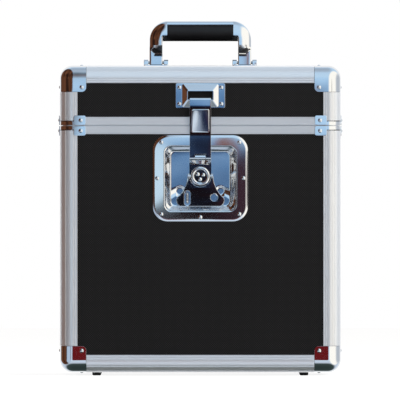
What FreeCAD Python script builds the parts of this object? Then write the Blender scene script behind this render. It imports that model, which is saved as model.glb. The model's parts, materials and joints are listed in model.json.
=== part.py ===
"""Record carrying case: a tall board-and-aluminium box with a hinged lid, a twist latch and a handle.

Frame: X to the right, Y to the back, Z up, in millimetres. The origin is under the middle of the case, on
the surface that the feet stand on. The front face looks towards -Y.
"""
import FreeCAD, Part
import math
import os

V = FreeCAD.Vector
AXIS_X = V(1, 0, 0)
AXIS_Y = V(0, 1, 0)
AXIS_Z = V(0, 0, 1)

# Case, overall
case_width = 352.0
case_depth = 240.0
base_height = 309.4
lid_height = 75.2
foot_height = 4.0
overrun = 5.0
touch = 0.000001

# Boards and linings
panel_thickness = 7.0
panel_inset = 1.5
lining_thickness = 1.5
pad_thickness = 5.0
lining_clearance = 0.2

# Aluminium edge sections
band_width = 22.0
edge_radius = 16.0
skin_thickness = 1.5
lip_reach = 21.0
lip_clearance = 0.1
flute_radius = 0.6
flute_lift = 0.2
flute_places = (17.2, 20.0)
flute_turn = 32.0

# Rim sections at the split
rim_height = 10.8
rim_chamfer = 0.8
rim_groove_depth = 0.4
rim_groove_width = 0.6
rim_bead_height = 1.2
base_web_height = 2.0
lid_web_height = 5.2
tongue_height = 3.0
tongue_clearance = 1.0
rim_end_gap = 0.3

# Ball corners and rim clips
corner_leg = 33.0
corner_gap = 0.3
corner_thickness = 1.5
ear_radius = 5.6
corner_rivet_place = 27.2
corner_near_share = 0.6
ear_edge_share = 1.5
clip_split_gap = 0.4
clip_strip_height = 5.6
clip_ear_start = 17.5
clip_ear_end = 32.4
clip_ear_height = 12.6
clip_ear_thickness = 1.0
clip_ear_radius = 2.0
clip_rivet_place = 26.0
clip_rivet_height = 6.6

# Rivets
rivet_head_radius = 2.6
rivet_head_height = 1.3
rivet_shank_radius = 1.4
rivet_grip = 5.0

# Feet
foot_inset_x = 46.0
foot_inset_y = 32.0
foot_top_radius = 8.0
foot_bottom_radius = 5.5
foot_recess_radius = 3.6
foot_recess_height = 2.0
screw_radius = 1.7
screw_head_radius = 3.2
screw_head_height = 1.4
screw_length = 9.0

# Hinges
hinge_inset = 76.0
hinge_width = 50.0
knuckle_count = 5
knuckle_gap = 0.4
knuckle_radius = 4.0
knuckle_stand_off = 0.3
hinge_pin_radius = 1.75
running_clearance = 0.05
leaf_thickness = 1.5
leaf_length = 34.0
leaf_fit = 0.1
leaf_rivet_spacing = 17.0
leaf_rivet_low = 20.0
stop_lug_reach = 6.5
stop_lug_half = 2.5
stop_lug_angle = 10.0

# Latch dish
dish_drop = 12.0
dish_width = 119.2
dish_height = 108.3
dish_corner_radius = 18.8
dish_thickness = 1.2
pan_drop = 25.7
pan_width = 90.0
pan_height = 81.8
pan_corner_radius = 9.0
floor_width = 76.2
floor_height = 70.1
floor_corner_radius = 6.3
pan_depth = 11.0
pan_hole_clearance = 0.5
dimple_place_x = 25.5
dimple_drop = 19.1
dimple_radius = 9.0
dimple_mouth_radius = 7.0
cover_margin = 5.0
cover_depth = 10.0
cover_wall = 1.2
cover_flange = 5.0
dish_rivet_places = (
    (48.9, 42.4),
    (-48.9, 42.4),
    (54.1, -2.6),
    (-54.1, -2.6),
    (48.8, -47.7),
    (-48.8, -47.7),
    (0.0, -51.6),
)

# Latch rotor and wing handle
rotor_drop = 63.4
shaft_radius = 5.0
shaft_tail = 1.4
retainer_radius = 8.0
retainer_thickness = 1.6
retainer_gap = 0.3
cam_radius = 6.0
cam_offset = 3.5
cam_clearance = 0.9
cam_side_clearance = 0.5
drum_radius = 12.0
drum_back_gap = 0.3
drum_front = 2.0
drum_ring_width = 2.5
drum_ring_height = 1.0
dome_radius = 8.3
dome_height = 2.2
wing_pin_radius = 2.0
wing_centre_depth = 4.6
wing_thickness = 1.6
wing_cutout_radius = 13.4
wing_eye_outer = 15.8
wing_eye_radius = 3.2
wing_shoulder = 16.0
wing_waist = (19.0, 13.2)
wing_flank = (29.3, 27.0)
wing_lobe = (30.0, 31.5)
wing_toe = (23.5, 38.0)
wing_slot_place = 16.3
wing_slot_half = 3.9
wing_slot_round_share = 0.98
wing_slot_top = 18.0
wing_slot_bottom = 37.0
wing_hole_place = (17.3, 26.6)
wing_hole_radius = 4.7

# Padlock staple
staple_wire_radius = 1.5
staple_gap = 0.4
staple_top = 21.5
staple_bottom = 33.0

# Link and hook arm
link_thickness = 1.8
link_floor_gap = 0.6
link_half_width = 13.7
link_border = 3.5
link_bend = 14.5
link_flange_low = 10.0
link_flange_high = 17.0
link_flange_thickness = 1.5
link_flange_depth = 2.8
knuckle_rise = 23.4
arm_knuckle_radius = 3.75
arm_knuckle_front = 0.45
arm_pin_radius = 1.5
link_eye_half = 6.4
arm_eye_start = 6.8
arm_half_width = 13.4
arm_thickness = 2.0
arm_bend_low = 53.0
arm_bend_high = 86.0
arm_stand_off = 6.8
arm_top = 98.3
arm_tab_tip = 2.0
arm_pad_half_width = 11.1
arm_pad_half_length = 14.6
arm_pad_height = 1.0
arm_pad_bevel = 1.6

# Keeper plate
keeper_width = 62.0
keeper_height = 31.0
keeper_drop = 22.2
keeper_thickness = 1.2
keeper_corner_radius = 2.0
keeper_rise = 6.0
keeper_base_half_width = 22.7
keeper_base_margin = 1.1
keeper_mouth_half_width = 15.5
keeper_mouth_low = 0.3
keeper_mouth_height = 10.3
keeper_rivet_margin_x = 4.7
keeper_rivet_margin_z = 5.2

# Carrying handle
handle_width = 128.0
handle_height = 57.0
handle_leg_width = 16.4
handle_corner_radius = 27.0
handle_half_depth = 8.0
handle_foot_half_depth = 3.5
handle_foot_top = 22.0
handle_edge_radius = 3.0
handle_bar_height = 5.7
handle_inner_radius = 7.0
handle_inner_top = 16.0
pivot_height = 4.5
leg_end_radius = 4.0
handle_pin_radius = 1.8
grip_end_margin = 5.9
grip_radius = 11.0
grip_sink = 8.9
bracket_leg_gap = 1.5
bracket_ear_thickness = 5.7
bracket_height = 8.5
bracket_half_depth = 15.0
bracket_plate_thickness = 1.5
bracket_window_half_depth = 8.6
bracket_rivet_place = 11.6
bracket_rivet_side = 12.2

# Places that follow from the sizes
half_width = case_width / 2
half_depth = case_depth / 2
split_z = foot_height + base_height
top_z = split_z + lid_height
front_y = -half_depth
panel_front_y = front_y + panel_inset
board_back = panel_inset + panel_thickness
lip_back = board_back + lip_clearance + skin_thickness
lining_start = lip_reach + lining_clearance
rotor_z = split_z - rotor_drop
knuckle_z = rotor_z + knuckle_rise
pivot_z = top_z + pivot_height
hinge_y = half_depth + knuckle_radius + knuckle_stand_off
floor_top_z = foot_height + board_back
foot_place_x = half_width - foot_inset_x
foot_place_y = half_depth - foot_inset_y
hinge_place = half_width - hinge_inset
grip_half_length = handle_width / 2 - handle_leg_width - grip_end_margin

pieces = {}


def keep(node, solids):
    """Keep the solids of one node, as a list."""
    pieces[node] = solids if isinstance(solids, list) else [solids]


def block(x0, x1, y0, y1, z0, z1):
    """A box between two corners."""
    return Part.makeBox(x1 - x0, y1 - y0, z1 - z0, V(x0, y0, z0))


def rod(point, axis, radius, length):
    """A cylinder that starts at a point and runs along an axis."""
    return Part.makeCylinder(radius, length, point, axis)


def depth_y(front):
    """The Y of a point that lies so far in front of the front panel's surface."""
    return panel_front_y - front


def seated(shape, origin, first, second):
    """A copy of a shape whose own X and Y are turned to two directions, at an origin."""
    third = first.cross(second)
    turn = FreeCAD.Matrix(
        first.x, second.x, third.x, origin.x,
        first.y, second.y, third.y, origin.y,
        first.z, second.z, third.z, origin.z,
        0, 0, 0, 1,
    )
    placed = shape.copy()
    placed.Placement = FreeCAD.Placement(turn)
    return placed


def round_wire(u0, u1, v0, v1, radius, place):
    """A rectangle with round corners, drawn through place(u, v)."""
    bow = radius * (1 - math.sqrt(0.5))
    corners = (
        ((u1 - radius, v0), (u1 - bow, v0 + bow), (u1, v0 + radius)),
        ((u1, v1 - radius), (u1 - bow, v1 - bow), (u1 - radius, v1)),
        ((u0 + radius, v1), (u0 + bow, v1 - bow), (u0, v1 - radius)),
        ((u0, v0 + radius), (u0 + bow, v0 + bow), (u0 + radius, v0)),
    )
    edges = []
    for index, (start, middle, end) in enumerate(corners):
        following = corners[(index + 1) % len(corners)][0]
        edges.append(Part.Arc(place(*start), place(*middle), place(*end)).toShape())
        edges.append(Part.LineSegment(place(*end), place(*following)).toShape())
    return Part.Wire(edges)


def face_wire(x0, x1, z0, z1, radius, front):
    """A rounded rectangle that faces the front, so far before the panel's surface."""
    return round_wire(x0, x1, z0, z1, radius, lambda u, v: V(u, depth_y(front), v))


def polygon(points, place, sweep):
    """A prism whose outline is a list of points drawn through place(u, v)."""
    corners = [place(*point) for point in points]
    return Part.Face(Part.makePolygon(corners + corners[:1])).extrude(sweep)


def joined(first, *others):
    """One solid made of several that touch or overlap."""
    return first.multiFuse(list(others)).removeSplitter()


def rivet(point, outward, grip=rivet_grip, head=rivet_head_radius):
    """A domed rivet whose head lies on a surface at a point, with its shank going in."""
    rise = rivet_head_height * head / rivet_head_radius
    bow_radius = (head * head + rise * rise) / (2 * rise)
    cap = Part.makeSphere(bow_radius, V(0, 0, rise - bow_radius))
    cap = cap.common(rod(V(0, 0, 0), AXIS_Z, head + overrun, head + overrun))
    shank = rod(V(0, 0, -grip), AXIS_Z, rivet_shank_radius, grip)
    whole = cap.fuse(shank).removeSplitter()
    whole.Placement = FreeCAD.Placement(point, FreeCAD.Rotation(AXIS_Z, outward))
    return whole


def shank_hole(point, outward, depth=rivet_grip):
    """The hole that a rivet's shank fills."""
    return rod(point - outward * depth, outward, rivet_shank_radius, depth + overrun)


def drill(nodes, places, depth=rivet_grip):
    """Cut the shank holes of rivets at the given places out of nodes."""
    tools = Part.makeCompound([shank_hole(point, outward, depth) for point, outward in places])
    for node in nodes:
        pieces[node] = [solid.cut(tools) for solid in pieces[node]]


# Aluminium edges


def edge_solid(length):
    """An angle section along Z whose outer corner line is the Z axis, with legs along X and Y."""
    centre = V(edge_radius, edge_radius, 0)

    def arc(radius):
        slant = radius * math.sqrt(0.5)
        start = V(edge_radius, edge_radius - radius, 0)
        middle = centre - V(slant, slant, 0)
        end = V(edge_radius - radius, edge_radius, 0)
        return Part.Arc(start, middle, end).toShape()

    inner_radius = edge_radius - skin_thickness
    outer = arc(edge_radius)
    inner = arc(inner_radius)
    lines = (
        (V(band_width, skin_thickness, 0), V(band_width, 0, 0)),
        (V(band_width, 0, 0), V(edge_radius, 0, 0)),
        (V(0, edge_radius, 0), V(0, band_width, 0)),
        (V(0, band_width, 0), V(skin_thickness, band_width, 0)),
        (V(skin_thickness, band_width, 0), V(skin_thickness, edge_radius, 0)),
        (V(edge_radius, skin_thickness, 0), V(band_width, skin_thickness, 0)),
    )
    edges = [Part.LineSegment(start, end).toShape() for start, end in lines] + [outer, inner]
    skin = Part.Face(Part.Wire(Part.__sortEdges__(edges))).extrude(V(0, 0, length))
    web_start = edge_radius - skin_thickness
    web = block(web_start, edge_radius, skin_thickness, lip_back, 0, length)
    lip = block(web_start, lip_reach, lip_back - skin_thickness, lip_back, 0, length)
    seat = joined(web, lip)
    twin = seat.mirror(V(0, 0, 0), V(1, -1, 0))
    section = joined(skin, seat, twin)
    flutes = []
    for place in flute_places:
        flutes.append(rod(V(place, -flute_lift, 0), AXIS_Z, flute_radius, length))
        flutes.append(rod(V(-flute_lift, place, 0), AXIS_Z, flute_radius, length))
    for turn in (flute_turn, 90 - flute_turn):
        reach = edge_radius + flute_lift
        across = V(math.sin(math.radians(turn)), math.cos(math.radians(turn)), 0)
        flutes.append(rod(centre - across * reach, AXIS_Z, flute_radius, length))
    return section.cut(Part.makeCompound(flutes))


def corner_points():
    """The four upright corner lines, each with its two inward directions."""
    for side_x, side_y in ((-1, -1), (1, -1), (1, 1), (-1, 1)):
        inward_x = V(-side_x, 0, 0)
        inward_y = V(0, -side_y, 0)
        yield V(side_x * half_width, side_y * half_depth, 0), inward_x, inward_y


def upright_edges(z0, z1):
    """The four upright edge sections between two heights."""
    section = edge_solid(z1 - z0)
    solids = []
    for corner, inward_x, inward_y in corner_points():
        legs = (inward_x, inward_y)
        if inward_x.cross(inward_y).z < 0:
            legs = (inward_y, inward_x)
        solids.append(seated(section, corner + V(0, 0, z0), *legs))
    return solids


def flat_edges(z, inward_z, labels):
    """The four level edge sections at a height, which go round the floor or the top."""
    across = edge_solid(case_width - 2 * (corner_leg + corner_gap))
    along = edge_solid(case_depth - 2 * (corner_leg + corner_gap))
    solids = {}
    for label, inward in zip(labels, (AXIS_Y, -AXIS_Y, AXIS_X, -AXIS_X)):
        run = inward.cross(inward_z)
        section = across if abs(inward.y) > 0 else along
        length = section.BoundBox.ZLength
        middle = V(-inward.x * half_width, -inward.y * half_depth, z)
        solids[label] = seated(section, middle - run * (length / 2), inward, inward_z)
    return solids


# Rims at the split


def case_prism(inset, z0, z1):
    """A prism of the case's plan, so far inside its outer faces."""
    radius = edge_radius - inset
    x = half_width - inset
    y = half_depth - inset
    if radius <= 0:
        return block(-x, x, -y, y, z0, z1)
    wire = round_wire(-x, x, -y, y, radius, lambda u, v: V(u, v, z0))
    return Part.Face(wire).extrude(V(0, 0, z1 - z0))


def case_ring(outer_inset, inner_inset, z0, z1):
    """A ring of the case's plan between two insets and two heights."""
    low, high = sorted((z0, z1))
    inside = case_prism(inner_inset, low - overrun, high + overrun)
    return case_prism(outer_inset, low, high).cut(inside)


def rim_walls(away, web_height):
    """The outer and inner walls of a rim's four sides, between the upright edges."""
    face_end = rim_height - rim_bead_height
    outline = (
        (rim_chamfer, 0),
        (0, rim_chamfer),
        (0, face_end - rim_groove_width),
        (rim_groove_depth, face_end - rim_groove_width),
        (rim_groove_depth, face_end),
        (0, face_end),
        (0, rim_height - rim_groove_depth),
        (rim_groove_depth, rim_height),
        (skin_thickness, rim_height),
        (skin_thickness, 0),
    )
    walls = []
    for inward in (AXIS_Y, -AXIS_Y, AXIS_X, -AXIS_X):
        run = AXIS_Z.cross(inward)
        half_run = half_width if abs(inward.y) > 0 else half_depth
        half_gap = half_depth if abs(inward.y) > 0 else half_width
        outer_half = half_run - band_width - rim_end_gap
        start = V(0, 0, split_z) - inward * half_gap - run * outer_half

        def place(depth, height, start=start, inward=inward):
            return start + inward * depth + V(0, 0, away * height)

        walls.append(polygon(outline, place, run * (2 * outer_half)))
        inner_half = half_run - lip_reach - rim_end_gap
        shift = run * (outer_half - inner_half)
        low = board_back
        high = lip_back - lip_clearance
        inner = ((low, web_height), (high, web_height), (high, rim_height), (low, rim_height))
        moved = lambda depth, height, place=place, shift=shift: place(depth, height) + shift
        walls.append(polygon(inner, moved, run * (2 * inner_half)))
    return walls


def rim_frame(away, web_height, inner_inset, extra=None, groove=None):
    """A rim of four mitred lengths; away is 1 above the split and -1 below it."""
    web = case_ring(skin_thickness, inner_inset, split_z, split_z + away * web_height)
    frame = joined(web, *rim_walls(away, web_height))
    if extra is not None:
        frame = joined(frame, extra)
    if groove is not None:
        frame = frame.cut(groove)
    ridge = half_width - half_depth
    out_x = half_width + overrun
    out_y = half_depth + overrun
    wedges = (
        ((-out_x, -out_y), (out_x, -out_y), (ridge, 0), (-ridge, 0)),
        ((out_x, out_y), (-out_x, out_y), (-ridge, 0), (ridge, 0)),
        ((-out_x, out_y), (-out_x, -out_y), (-ridge, 0)),
        ((out_x, -out_y), (out_x, out_y), (ridge, 0)),
    )
    low = split_z - rim_height - overrun
    sweep = V(0, 0, 2 * (rim_height + overrun))
    lengths = [frame.common(polygon(wedge, lambda u, v: V(u, v, low), sweep)) for wedge in wedges]
    return [solid for length in lengths for solid in length.Solids]


def build_frames():
    """Edge sections and rims of the base and the lid."""
    base_end = foot_height + corner_leg + corner_gap
    lid_end = top_z - corner_leg - corner_gap
    keep("base_upright_edges", upright_edges(base_end, split_z - clip_strip_height))
    keep("lid_upright_edges", upright_edges(split_z + clip_strip_height, lid_end))
    base_labels = ("base_edge_front", "base_edge_back", "base_edge_left", "base_edge_right")
    lid_labels = ("lid_edge_front", "lid_edge_back", "lid_edge_left", "lid_edge_right")
    for label, solid in flat_edges(foot_height, AXIS_Z, base_labels).items():
        keep(label, solid)
    for label, solid in flat_edges(top_z, -AXIS_Z, lid_labels).items():
        keep(label, solid)
    tongue_inner = board_back + skin_thickness
    tongue = case_ring(board_back, tongue_inner, split_z, split_z + tongue_height)
    keep("base_rim", rim_frame(-1, base_web_height, tongue_inner, extra=tongue))
    groove_outer = board_back - tongue_clearance
    groove_inner = tongue_inner + tongue_clearance
    groove_top = split_z + tongue_height + tongue_clearance
    groove = case_ring(groove_outer, groove_inner, split_z - overrun, groove_top)
    lid_inner = groove_inner + skin_thickness
    keep("lid_rim", rim_frame(1, lid_web_height, lid_inner, groove=groove))


# Boards, linings and pads


def wall_boards(outset, z0, z1, thickness, end):
    """Four upright boards: front, back, left and right, with their outer faces at an inset."""
    x = half_width - end
    y = half_depth - end
    near = half_depth - outset
    side = half_width - outset
    return (
        block(-x, x, -near, -near + thickness, z0, z1),
        block(-x, x, near - thickness, near, z0, z1),
        block(-side, -side + thickness, -y, y, z0, z1),
        block(side - thickness, side, -y, y, z0, z1),
    )


def build_boards():
    """The panels, the linings and the pads."""
    base_low = foot_height + edge_radius
    base_high = split_z - base_web_height
    lid_low = split_z + lid_web_height
    lid_high = top_z - edge_radius
    base_walls = wall_boards(panel_inset, base_low, base_high, panel_thickness, edge_radius)
    lid_walls = wall_boards(panel_inset, lid_low, lid_high, panel_thickness, edge_radius)
    for side, base_wall, lid_wall in zip(("front", "back", "left", "right"), base_walls, lid_walls):
        keep(f"base_panel_{side}", base_wall)
        keep(f"lid_panel_{side}", lid_wall)
    x = half_width - edge_radius
    y = half_depth - edge_radius
    floor_z = foot_height + panel_inset
    roof_z = top_z - panel_inset
    keep("base_panel_floor", block(-x, x, -y, y, floor_z, floor_z + panel_thickness))
    keep("lid_panel_top", block(-x, x, -y, y, roof_z - panel_thickness, roof_z))
    lining_low = foot_height + lining_start
    lining_high = split_z - rim_height - lining_clearance
    linings = wall_boards(board_back, lining_low, lining_high, lining_thickness, lining_start)
    keep("base_wall_lining", list(linings))
    lid_lining_low = split_z + rim_height + lining_clearance
    lid_lining_high = top_z - lining_start
    linings = wall_boards(board_back, lid_lining_low, lid_lining_high, lining_thickness, lining_start)
    keep("lid_wall_lining", list(linings))
    pad_x = half_width - lining_start
    pad_y = half_depth - lining_start
    keep("base_floor_pad", block(-pad_x, pad_x, -pad_y, pad_y, floor_top_z, floor_top_z + pad_thickness))
    roof_under = top_z - board_back
    keep("lid_top_pad", block(-pad_x, pad_x, -pad_y, pad_y, roof_under - pad_thickness, roof_under))


# Ball corners and rim clips


def ball_corner():
    """A pressed corner cap in its own frame: its corner at the origin and its legs along +X, +Y, +Z."""
    outer = block(0, corner_leg, 0, corner_leg, 0, corner_leg)
    near = [edge for edge in outer.Edges if edge.BoundBox.Center.Length < corner_leg * corner_near_share]
    outer = outer.makeFillet(edge_radius, near)
    far = corner_leg + overrun
    inner = block(corner_thickness, far, corner_thickness, far, corner_thickness, far)
    inner_near = [edge for edge in inner.Edges if edge.BoundBox.Center.Length < far * corner_near_share]
    inner = inner.makeFillet(edge_radius - corner_thickness, inner_near)
    shell = outer.cut(inner)
    ears = []
    for edge in shell.Edges:
        centre = edge.BoundBox.Center
        at_leg = [abs(value - corner_leg) < corner_thickness / 2 for value in (centre.x, centre.y, centre.z)]
        if sum(at_leg) == 2 and edge.Length < corner_thickness * ear_edge_share:
            ears.append(edge)
    return shell.makeFillet(ear_radius, ears)


def corner_set(z, inward_z):
    """Four ball corners at one end of the case."""
    cap = ball_corner()
    solids = []
    for corner, inward_x, inward_y in corner_points():
        legs = (inward_x, inward_y)
        if legs[0].cross(legs[1]).dot(inward_z) < 0:
            legs = (inward_y, inward_x)
        solids.append(seated(cap, corner + V(0, 0, z), *legs))
    return solids


def corner_rivets(z, inward_z):
    """The places of a ball corner set's rivets: one on each of a corner's three faces."""
    places = []
    for corner, inward_x, inward_y in corner_points():
        root = corner + V(0, 0, z)
        inwards = (inward_x, inward_y, inward_z)
        for index, outward in enumerate(inwards):
            others = [inwards[other] for other in range(3) if other != index]
            point = root + (others[0] + others[1]) * corner_rivet_place
            places.append((point, -outward))
    return places


def rim_clip():
    """A rim corner clip in its own frame: corner line on Z, legs along X and Y, split at Z zero."""
    low = clip_split_gap
    high = clip_strip_height - clip_split_gap
    centre = edge_radius
    radius = edge_radius
    reach = band_width
    strip = block(0, reach, 0, reach, low, high)
    edges = [edge for edge in strip.Edges if edge.BoundBox.XMax < touch and edge.BoundBox.YMax < touch]
    strip = strip.makeFillet(radius, edges)
    far = reach + overrun
    hollow = block(skin_thickness, far, skin_thickness, far, low - overrun, high + overrun)
    edges = []
    for edge in hollow.Edges:
        box = edge.BoundBox
        if box.XMax - skin_thickness < touch and box.YMax - skin_thickness < touch:
            edges.append(edge)
    hollow = hollow.makeFillet(centre - skin_thickness, edges)
    strip = strip.cut(hollow)

    def ear_place(u, v):
        return V(u, -clip_ear_thickness, v)

    outline = round_wire(clip_ear_start, clip_ear_end, low, clip_ear_height, clip_ear_radius, ear_place)
    ear = Part.Face(outline).extrude(V(0, clip_ear_thickness, 0))
    twin = ear.mirror(V(0, 0, 0), V(1, -1, 0))
    return joined(strip, ear, twin)


def clip_set(away):
    """Four rim clips above or below the split, with the places of their rivets."""
    clip = rim_clip()
    solids = []
    places = []
    for corner, inward_x, inward_y in corner_points():
        legs = (inward_x, inward_y)
        if legs[0].cross(legs[1]).z * away < 0:
            legs = (inward_y, inward_x)
        root = corner + V(0, 0, split_z)
        solids.append(seated(clip, root, *legs))
        for along, outward in ((inward_x, -inward_y), (inward_y, -inward_x)):
            level = V(0, 0, away * clip_rivet_height)
            face = root + along * clip_rivet_place + level + outward * clip_ear_thickness
            places.append((face, outward))
    return solids, places


def build_corners():
    """Ball corners, rim clips and their rivets."""
    for body, z, inward_z, away in (("base", foot_height, AXIS_Z, -1), ("lid", top_z, -AXIS_Z, 1)):
        labels = ("front_left", "front_right", "back_right", "back_left")
        for label, solid in zip(labels, corner_set(z, inward_z)):
            keep(f"{body}_corner_{label}", solid)
        clips, clip_places = clip_set(away)
        keep(f"{body}_rim_clips", clips)
        places = corner_rivets(z, inward_z)
        end_panel = "base_panel_floor" if body == "base" else "lid_panel_top"
        walls = [f"{body}_panel_{side}" for side in ("front", "back", "left", "right")]
        corners = [node for node in pieces if node.startswith(f"{body}_corner_")]
        drill(walls + corners + [end_panel], places)
        drill([f"{body}_rim_clips", f"{body}_rim"] + walls, clip_places)
        rivets = [rivet(point, outward) for point, outward in places + clip_places]
        keep(f"{body}_rivets", rivets)


# Feet


def build_feet():
    """Rubber feet on the floor panel, each with the screw that holds it."""
    height = foot_height + panel_inset
    foot = Part.makeCone(foot_bottom_radius, foot_top_radius, height)
    foot = foot.cut(rod(V(0, 0, 0), AXIS_Z, foot_recess_radius, foot_recess_height))
    foot = foot.cut(rod(V(0, 0, 0), AXIS_Z, screw_radius, height))
    head = rod(V(0, 0, foot_recess_height - screw_head_height), AXIS_Z, screw_head_radius, screw_head_height)
    shank = rod(V(0, 0, foot_recess_height), AXIS_Z, screw_radius, screw_length)
    screw = joined(head, shank)
    feet = []
    screws = []
    for side_x in (-1, 1):
        for side_y in (-1, 1):
            place = V(side_x * foot_place_x, side_y * foot_place_y, 0)
            feet.append(foot.translated(place))
            screws.append(screw.translated(place))
    keep("feet", feet)
    keep("foot_screws", screws)
    holes = Part.makeCompound(screws)
    for node in ("base_panel_floor", "base_floor_pad"):
        pieces[node] = [solid.cut(holes) for solid in pieces[node]]


# Hinges


def hinge_leaf(centre_x, away, turns):
    """A joggled leaf on the back; away is 1 for the lid, -1 for the base; turns are its knuckles."""
    z_end = rim_height + leaf_fit
    out = -leaf_thickness
    step = z_end + leaf_thickness
    outline = (
        (0, leaf_fit),
        (0, z_end),
        (panel_inset, z_end),
        (panel_inset, leaf_length),
        (panel_inset - leaf_thickness, leaf_length),
        (panel_inset - leaf_thickness, step),
        (out, step),
        (out, leaf_fit),
    )
    start_x = centre_x - hinge_width / 2

    def place(depth, height):
        return V(start_x, half_depth - depth, split_z + away * height)

    leaf = polygon(outline, place, V(hinge_width, 0, 0))
    pitch = hinge_width / knuckle_count
    knuckles = []
    reliefs = []
    for index in range(knuckle_count):
        start = V(start_x + index * pitch, hinge_y, split_z)
        if index in turns:
            inset = V(knuckle_gap / 2, 0, 0)
            knuckles.append(rod(start + inset, AXIS_X, knuckle_radius, pitch - knuckle_gap))
        else:
            reliefs.append(rod(start, AXIS_X, knuckle_radius + knuckle_stand_off, pitch))
    leaf = leaf.cut(Part.makeCompound(reliefs))
    return joined(leaf, *knuckles)


def build_hinges():
    """Two hinges with their leaves, stop lugs, pins and rivets."""
    base_turns = range(0, knuckle_count, 2)
    lid_turns = range(1, knuckle_count, 2)
    pitch = hinge_width / knuckle_count
    base_leaves = []
    lid_leaves = []
    pins = []
    places = {"base": [], "lid": []}
    bore_radius = hinge_pin_radius + running_clearance
    for side in (-1, 1):
        centre_x = side * hinge_place
        start = V(centre_x - hinge_width / 2, hinge_y, split_z)
        base_leaf = hinge_leaf(centre_x, -1, base_turns)
        lid_leaf = hinge_leaf(centre_x, 1, lid_turns)
        for index in lid_turns:
            lug_start = start + V(index * pitch + knuckle_gap / 2, 0, 0)
            lug = block(0, pitch - knuckle_gap, 0, stop_lug_reach, -stop_lug_half, stop_lug_half)
            lug.rotate(V(0, 0, 0), AXIS_X, stop_lug_angle)
            lid_leaf = joined(lid_leaf, lug.translated(lug_start))
        base_leaves.append(base_leaf.cut(rod(start, AXIS_X, hinge_pin_radius, hinge_width)))
        lid_leaves.append(lid_leaf.cut(rod(start, AXIS_X, bore_radius, hinge_width)))
        pins.append(rod(start, AXIS_X, hinge_pin_radius, hinge_width))
        for body, away in (("base", -1), ("lid", 1)):
            for shift in (-leaf_rivet_spacing, 0, leaf_rivet_spacing):
                height = leaf_rivet_low + (leaf_length - leaf_rivet_low) / 3 * (shift == 0)
                leaf_face_y = half_depth - panel_inset + leaf_thickness
                outer = V(centre_x + shift, leaf_face_y, split_z + away * height)
                places[body].append((outer, AXIS_Y))
    keep("base_hinge_leaves", base_leaves)
    keep("lid_hinge_leaves", lid_leaves)
    keep("hinge_pins", pins)
    for body in ("base", "lid"):
        drill([f"{body}_hinge_leaves", f"{body}_panel_back"], places[body])
        pieces[f"{body}_rivets"] += [rivet(point, outward) for point, outward in places[body]]


# Latch


def pan_loft(grow, front, back):
    """The space of the dish's pan, grown outwards, between its mouth and its floor."""
    mouth_z = split_z - pan_drop - pan_height / 2
    sizes = (
        (pan_width, pan_height, pan_corner_radius, front),
        (floor_width, floor_height, floor_corner_radius, back),
    )
    wires = []
    for width, height, radius, depth in sizes:
        x = width / 2 + grow
        z = height / 2 + grow
        wires.append(face_wire(-x, x, mouth_z - z, mouth_z + z, radius + grow, depth))
    return Part.makeLoft(wires, True, True)


def build_dish():
    """The recessed dish, its rivets, the panel's opening and the cover inside."""
    middle_z = split_z - dish_drop - dish_height / 2
    x = dish_width / 2
    z = dish_height / 2
    outline = face_wire(-x, x, middle_z - z, middle_z + z, dish_corner_radius, 0)
    flange = Part.Face(outline).extrude(V(0, -dish_thickness, 0))
    shell = pan_loft(dish_thickness, 0, -pan_depth - dish_thickness)
    dish = flange.fuse(shell).cut(pan_loft(0, dish_thickness, -pan_depth)).removeSplitter()
    dimple_y = depth_y(-pan_depth) - math.sqrt(dimple_radius ** 2 - dimple_mouth_radius ** 2)
    behind = block(-x, x, depth_y(-pan_depth), depth_y(-pan_depth) + case_depth, 0, top_z)
    for side in (-1, 1):
        centre = V(side * dimple_place_x, dimple_y, rotor_z - dimple_drop)
        bulge = Part.makeSphere(dimple_radius + dish_thickness, centre).common(behind)
        dish = dish.fuse(bulge).cut(Part.makeSphere(dimple_radius, centre))
    bore_radius = shaft_radius + running_clearance
    dish = dish.cut(rod(V(0, depth_y(0), rotor_z), AXIS_Y, bore_radius, case_depth / 2))
    keep("latch_dish", dish.removeSplitter())

    pan_z = split_z - pan_drop - pan_height / 2
    hole_x = pan_width / 2 + dish_thickness + pan_hole_clearance
    hole_z = pan_height / 2 + dish_thickness + pan_hole_clearance
    hole = face_wire(-hole_x, hole_x, pan_z - hole_z, pan_z + hole_z, pan_corner_radius, 0)
    hole_cut = Part.Face(hole).extrude(V(0, board_back, 0))
    pieces["base_panel_front"] = [solid.cut(hole_cut) for solid in pieces["base_panel_front"]]

    back_y = front_y + board_back
    cover_x = hole_x + cover_margin
    cover_z = hole_z + cover_margin
    outer = block(-cover_x, cover_x, back_y, back_y + cover_depth, pan_z - cover_z, pan_z + cover_z)
    in_x = cover_x - cover_wall
    in_z = cover_z - cover_wall
    inner_back = back_y + cover_depth - cover_wall
    inner = block(-in_x, in_x, back_y, inner_back, pan_z - in_z, pan_z + in_z)
    rim_x = cover_x + cover_flange
    rim_z = cover_z + cover_flange
    rim = block(-rim_x, rim_x, back_y, back_y + cover_wall, pan_z - rim_z, pan_z + rim_z)
    keep("latch_back_cover", joined(outer, rim).cut(inner))
    gap_x = rim_x + lining_clearance
    gap_z = rim_z + lining_clearance
    window = block(-gap_x, gap_x, front_y, back_y + cover_depth, pan_z - gap_z, pan_z + gap_z)
    pieces["base_wall_lining"] = [solid.cut(window) for solid in pieces["base_wall_lining"]]

    places = []
    for place_x, place_z in dish_rivet_places:
        places.append((V(place_x, depth_y(dish_thickness), rotor_z + place_z), -AXIS_Y))
    drill(["latch_dish", "base_panel_front"], places)
    keep("latch_dish_rivets", [rivet(point, outward) for point, outward in places])


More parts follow.
